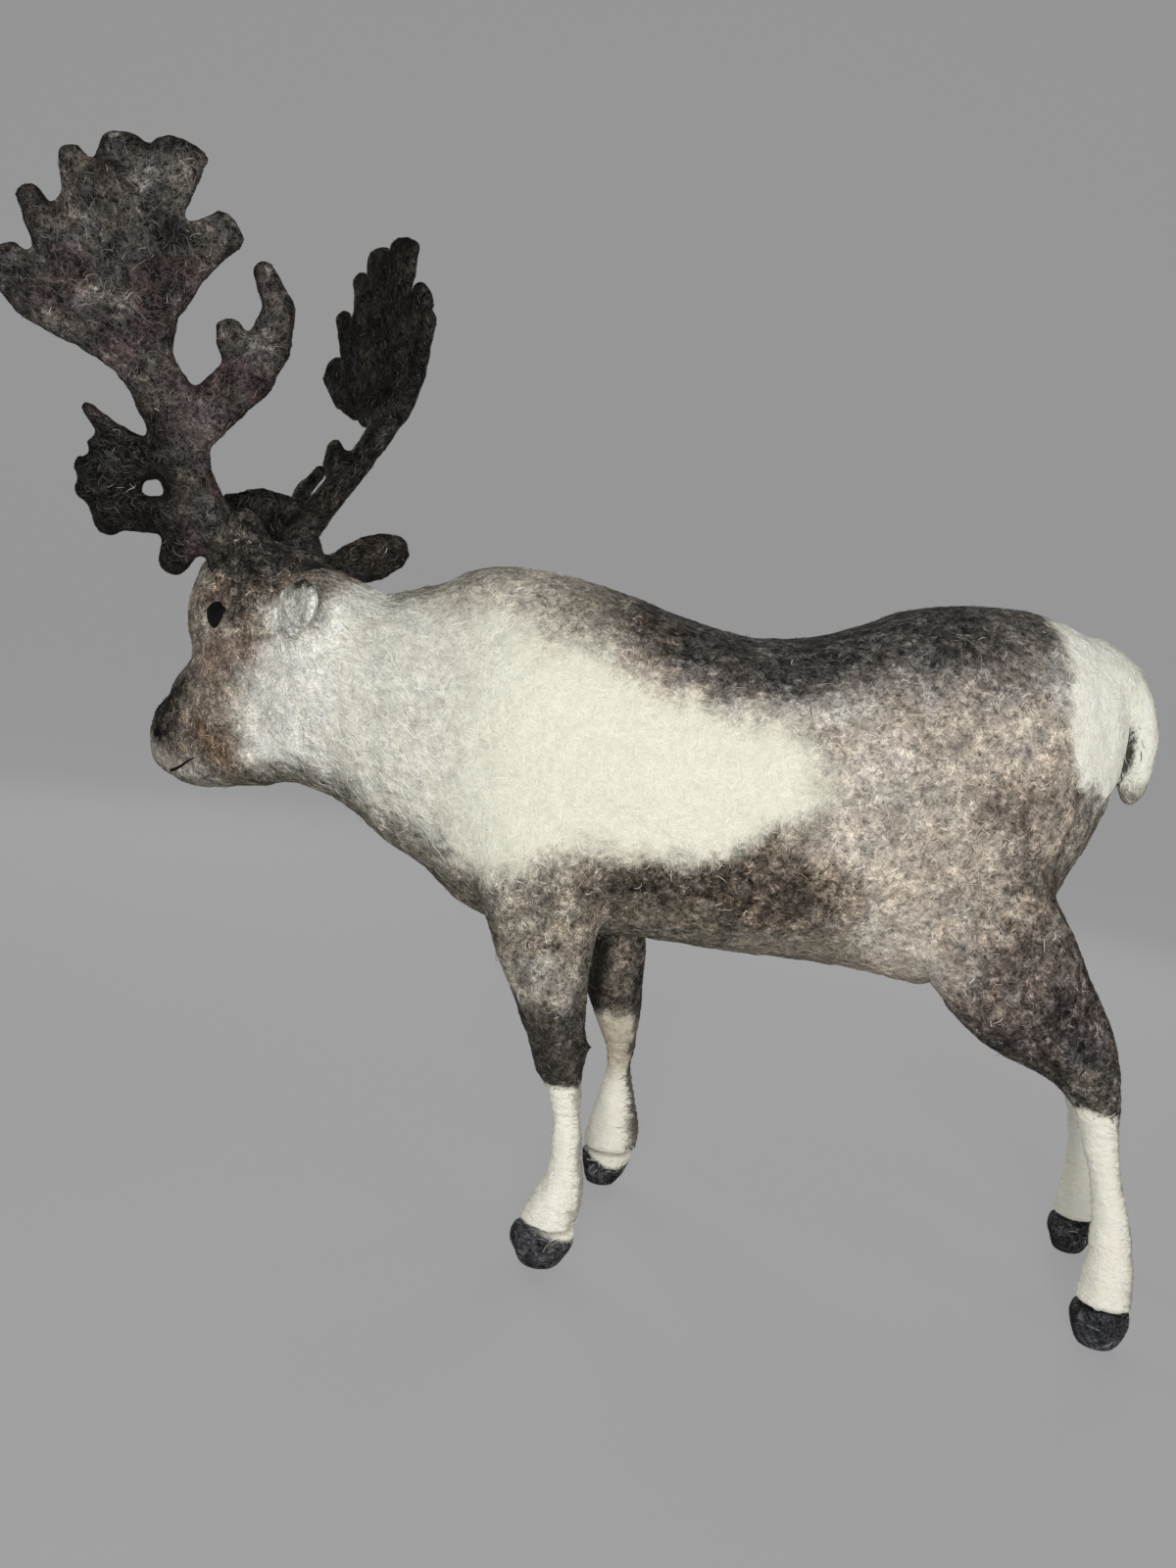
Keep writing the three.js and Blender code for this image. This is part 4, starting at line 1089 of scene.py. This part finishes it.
def add_antler(side, rng):
    nodes = [f"antler_{side}_{piece}" for piece in ANTLER_PIECES]
    skin, labels = felt_skin(f"felt_antler_{side}", nodes, even_softness, voxel=0.8, rounds=4)
    mesh = skin.data
    points = to_figure(coordinates(mesh))
    push_out(mesh, 0.2 * noise(points, 3.2, 41) + 0.14 * noise(points, 1.6, 42))
    paint(mesh, antler_coat(points, normals_of(mesh), labels, side))
    finish_piece(skin, felt_material(f"felt_antler_{side}", tuft=1.1), nodes)
    fibres = Fibres(skin, labels, nodes, lambda names: np.full(len(names), 3.0), rng)
    share, wool = PALE_FIBRES[side]
    # Pale strands, partly a painted sheen
    fibres.color[rng.random(len(fibres.root)) < share] = wool
    fibres.spread = np.minimum(fibres.spread, 0.6)
    centre = {}
    for node in nodes:
        low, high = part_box(node)
        centre[node] = np.array((low + high) / 2)
    base = centre[nodes[0]] - (0, 0, 0.03)
    flow = np.zeros_like(fibres.root)
    for node in nodes:
        own = fibres.node == node
        start = base if node.endswith("beam") else centre[node] * 0.3 + centre[nodes[0]] * 0.7
        flow[own] = fibres.root[own] - start
    every = np.ones(len(fibres.root), bool)
    material = fibre_material(f"antler_fibres_{side}", rough=0.5, shine=0.4)
    add_coat(f"fibres_antler_{side}", fibres, every, flow, ANTLER_LIE, material, rng)


# How high the black wool of a front hoof reaches, as (distance from its toe, z)
HOOF_TOPS = {
    "front_left": [(3, 9.7), (9, 8.8), (13.5, 7.6)],
    "front_right": [(1, 9), (6, 6.3), (9, 6), (12, 7.2)],
}
# Below this height a hoof's edges are rounded
HOOF_ROUND = 8.5
HOOF_LIE = Lie(3.0, 0.1, 0.08, 0.3, 0.7, 0.01)


def hoof_softness(names, points):
    return 0.08 + 0.45 * ease(points[:, 2], HOOF_ROUND, -3)


def add_hoof(leg, rng):
    node = f"leg_{leg}_hoof"
    skin, labels = felt_skin("felt_" + node, [node], hoof_softness, voxel=0.6, rounds=22)
    mesh = skin.data
    points = to_figure(coordinates(mesh))
    push = 0.15 * noise(points, 2.4, 51) * smooth_step(points[:, 2] / 2)
    push_out(mesh, push + 0.35 * ease(points[:, 2], HOOF_ROUND, -3))
    metres = coordinates(mesh)
    metres[:, 2] = np.maximum(metres[:, 2], 0)
    set_coordinates(mesh, metres)
    coat = Coat(len(points), HOOF, 0.8)
    if leg in HOOF_TOPS:
        x = points[:, 0] - points[:, 0].min()
        coat.lay(above(points[:, 2], x, HOOF_TOPS[leg], 1.2), CREAM, 0.1)
    coat.finish(points, 52)
    paint(mesh, coat)
    finish_piece(skin, felt_material("felt_" + node, tuft=0.9), [node])
    fibres = Fibres(skin, labels, [node], lambda names: np.full(len(names), 2.5), rng)
    # Pale strands in the black wool, partly a painted sheen
    fibres.color[rng.random(len(fibres.root)) < 0.09] = srgb(122, 122, 126)
    flow = np.cross(fibres.normal, (0.2, 0.1, 1.0))
    chosen = fibres.root[:, 2] > 0.5 * MM
    material = fibre_material("fibres_" + node)
    add_coat("fibres_" + node, fibres, chosen, flow, HOOF_LIE, material, rng)


# The near eye's edge, as (distance ahead of the head's pivot, height) from its middle
EYE_MIDDLE = (15.4, 133.7)
EYE_EDGE = [(2.2, 2.1), (0.3, 3.0), (-2.4, 2.2), (-4.6, 1.6), (-3.3, 0.0), (-1.5, -1.5), (0.2, -3.4),
            (1.7, -2.6), (2.9, -0.6), (3.0, 1.0)]
EYE_RISE = 0.9


def bridge(form, rings):
    """Faces between each closed ring of points and the next."""
    for inner, outer in zip(rings, rings[1:]):
        for index in range(len(inner)):
            follow = (index + 1) % len(inner)
            form.faces.new((inner[index], outer[index], outer[follow], inner[follow]))


def closed_piece(name, form):
    """An object from a closed form, its faces turned outwards."""
    bmesh.ops.recalc_face_normals(form, faces=form.faces)
    mesh = mesh_of(name, form)
    shade_smooth(mesh)
    return add_object(name, mesh)


def add_eye(side, material):
    """A dark bead set flush in the wool: a drop with its point down and its back corner drawn out."""
    node = f"eye_{side}"
    sign = 1 if side == "left" else -1
    low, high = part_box(node)
    centre = to_figure((low + high) / 2)
    outward = np.array(sign * (from_head(0, 1, 0) - from_head(0, 0, 0)))
    edge = np.array(EYE_EDGE)
    around = np.arctan2(edge[:, 1], edge[:, 0])
    order = np.argsort(around)
    reach = np.hypot(*edge.T)
    angles = np.linspace(-math.pi, math.pi, 49)[:-1]
    radius = np.interp(angles, around[order], reach[order], period=2 * math.pi)
    middle = from_head(EYE_MIDDLE[0], 0, EYE_MIDDLE[1])
    middle += outward * ((centre - middle) @ outward + 1.2)
    bead = bmesh.new()
    rings = []
    for share in np.linspace(0.08, 1.0, 14):
        rise = EYE_RISE * math.sqrt(max(0.0, 1 - share**2)) - 0.5 * share**6
        ring = []
        for angle, full in zip(angles, radius):
            ahead = share * full * math.cos(angle)
            up = share * full * math.sin(angle)
            point = middle + (from_head(ahead, 0, up) - HEAD_PIVOT) + outward * rise
            ring.append(bead.verts.new(Vector(to_frame(point))))
        rings.append(ring)
    bead.faces.new(rings[0])
    bridge(bead, rings)
    bead.faces.new(rings[-1])
    finish_piece(closed_piece("bead_" + side, bead), material, [node])


def add_nostril(side, material):
    node = "nostril_" + side
    skin, _ = felt_skin("felt_" + node, [node], even_softness, voxel=0.3, rounds=2)
    paint(skin.data, Coat(len(skin.data.vertices), BLACK, 0.1))
    finish_piece(skin, material, [node])


# The mouth on each side, as (distance ahead of the head's pivot, height, thickness)
MOUTH_PATH = [(33.8, 94.0, 0.5), (32.6, 94.1, 0.95), (30.5, 94.7, 0.9), (28.5, 95.5, 0.75),
              (26.5, 96.5, 0.7), (24.5, 97.6, 0.6), (22.8, 98.4, 0.45), (21.8, 98.8, 0.2)]


def add_mouth(surface, material):
    """A strand of black wool needled along the mouth on both sides of the muzzle."""
    mouth = bmesh.new()
    ahead, height, thick = np.array(MOUTH_PATH).T
    knots = np.linspace(0, len(ahead) - 1, 4 * len(ahead))
    places = np.arange(len(ahead))
    turns = np.linspace(0, 2 * math.pi, 9)[:-1]
    for sign in (1, -1):
        outward = sign * (from_head(0, 1, 0) - from_head(0, 0, 0))
        rings = []
        for knot in knots:
            s = np.interp(knot, places, ahead)
            z = np.interp(knot, places, height)
            radius = np.interp(knot, places, thick) / 2
            start = from_head(s, 0, z) + outward * 40
            hit = surface.tree.ray_cast(Vector(to_frame(start)), Vector(-outward))[0]
            middle = to_figure(hit.to_tuple()) + outward * (0.25 * radius)
            ring = []
            for turn in turns:
                offset = outward * math.cos(turn) + np.array((0, 0, 1.0)) * math.sin(turn)
                ring.append(mouth.verts.new(Vector(to_frame(middle + radius * offset))))
            rings.append(ring)
        bridge(mouth, rings)
        mouth.faces.new(rings[0])
        mouth.faces.new(rings[-1])
    obj = closed_piece("felt_mouth", mouth)
    paint(obj.data, Coat(len(obj.data.vertices), BLACK, 0.1))
    finish_piece(obj, material, ["mouth_line"])


def main():
    rng = np.random.default_rng(SEED)
    add_camera()
    add_studio()
    surface = add_body(rng)
    for side in ("left", "right"):
        add_antler(side, rng)
    for leg in LEGS:
        add_hoof(leg, rng)
    bead = bead_material()
    for side in ("left", "right"):
        add_eye(side, bead)
    felt = felt_material("black_felt", tuft=0.8)
    for side in ("left", "right"):
        add_nostril(side, felt)
    add_mouth(surface, felt)


main()
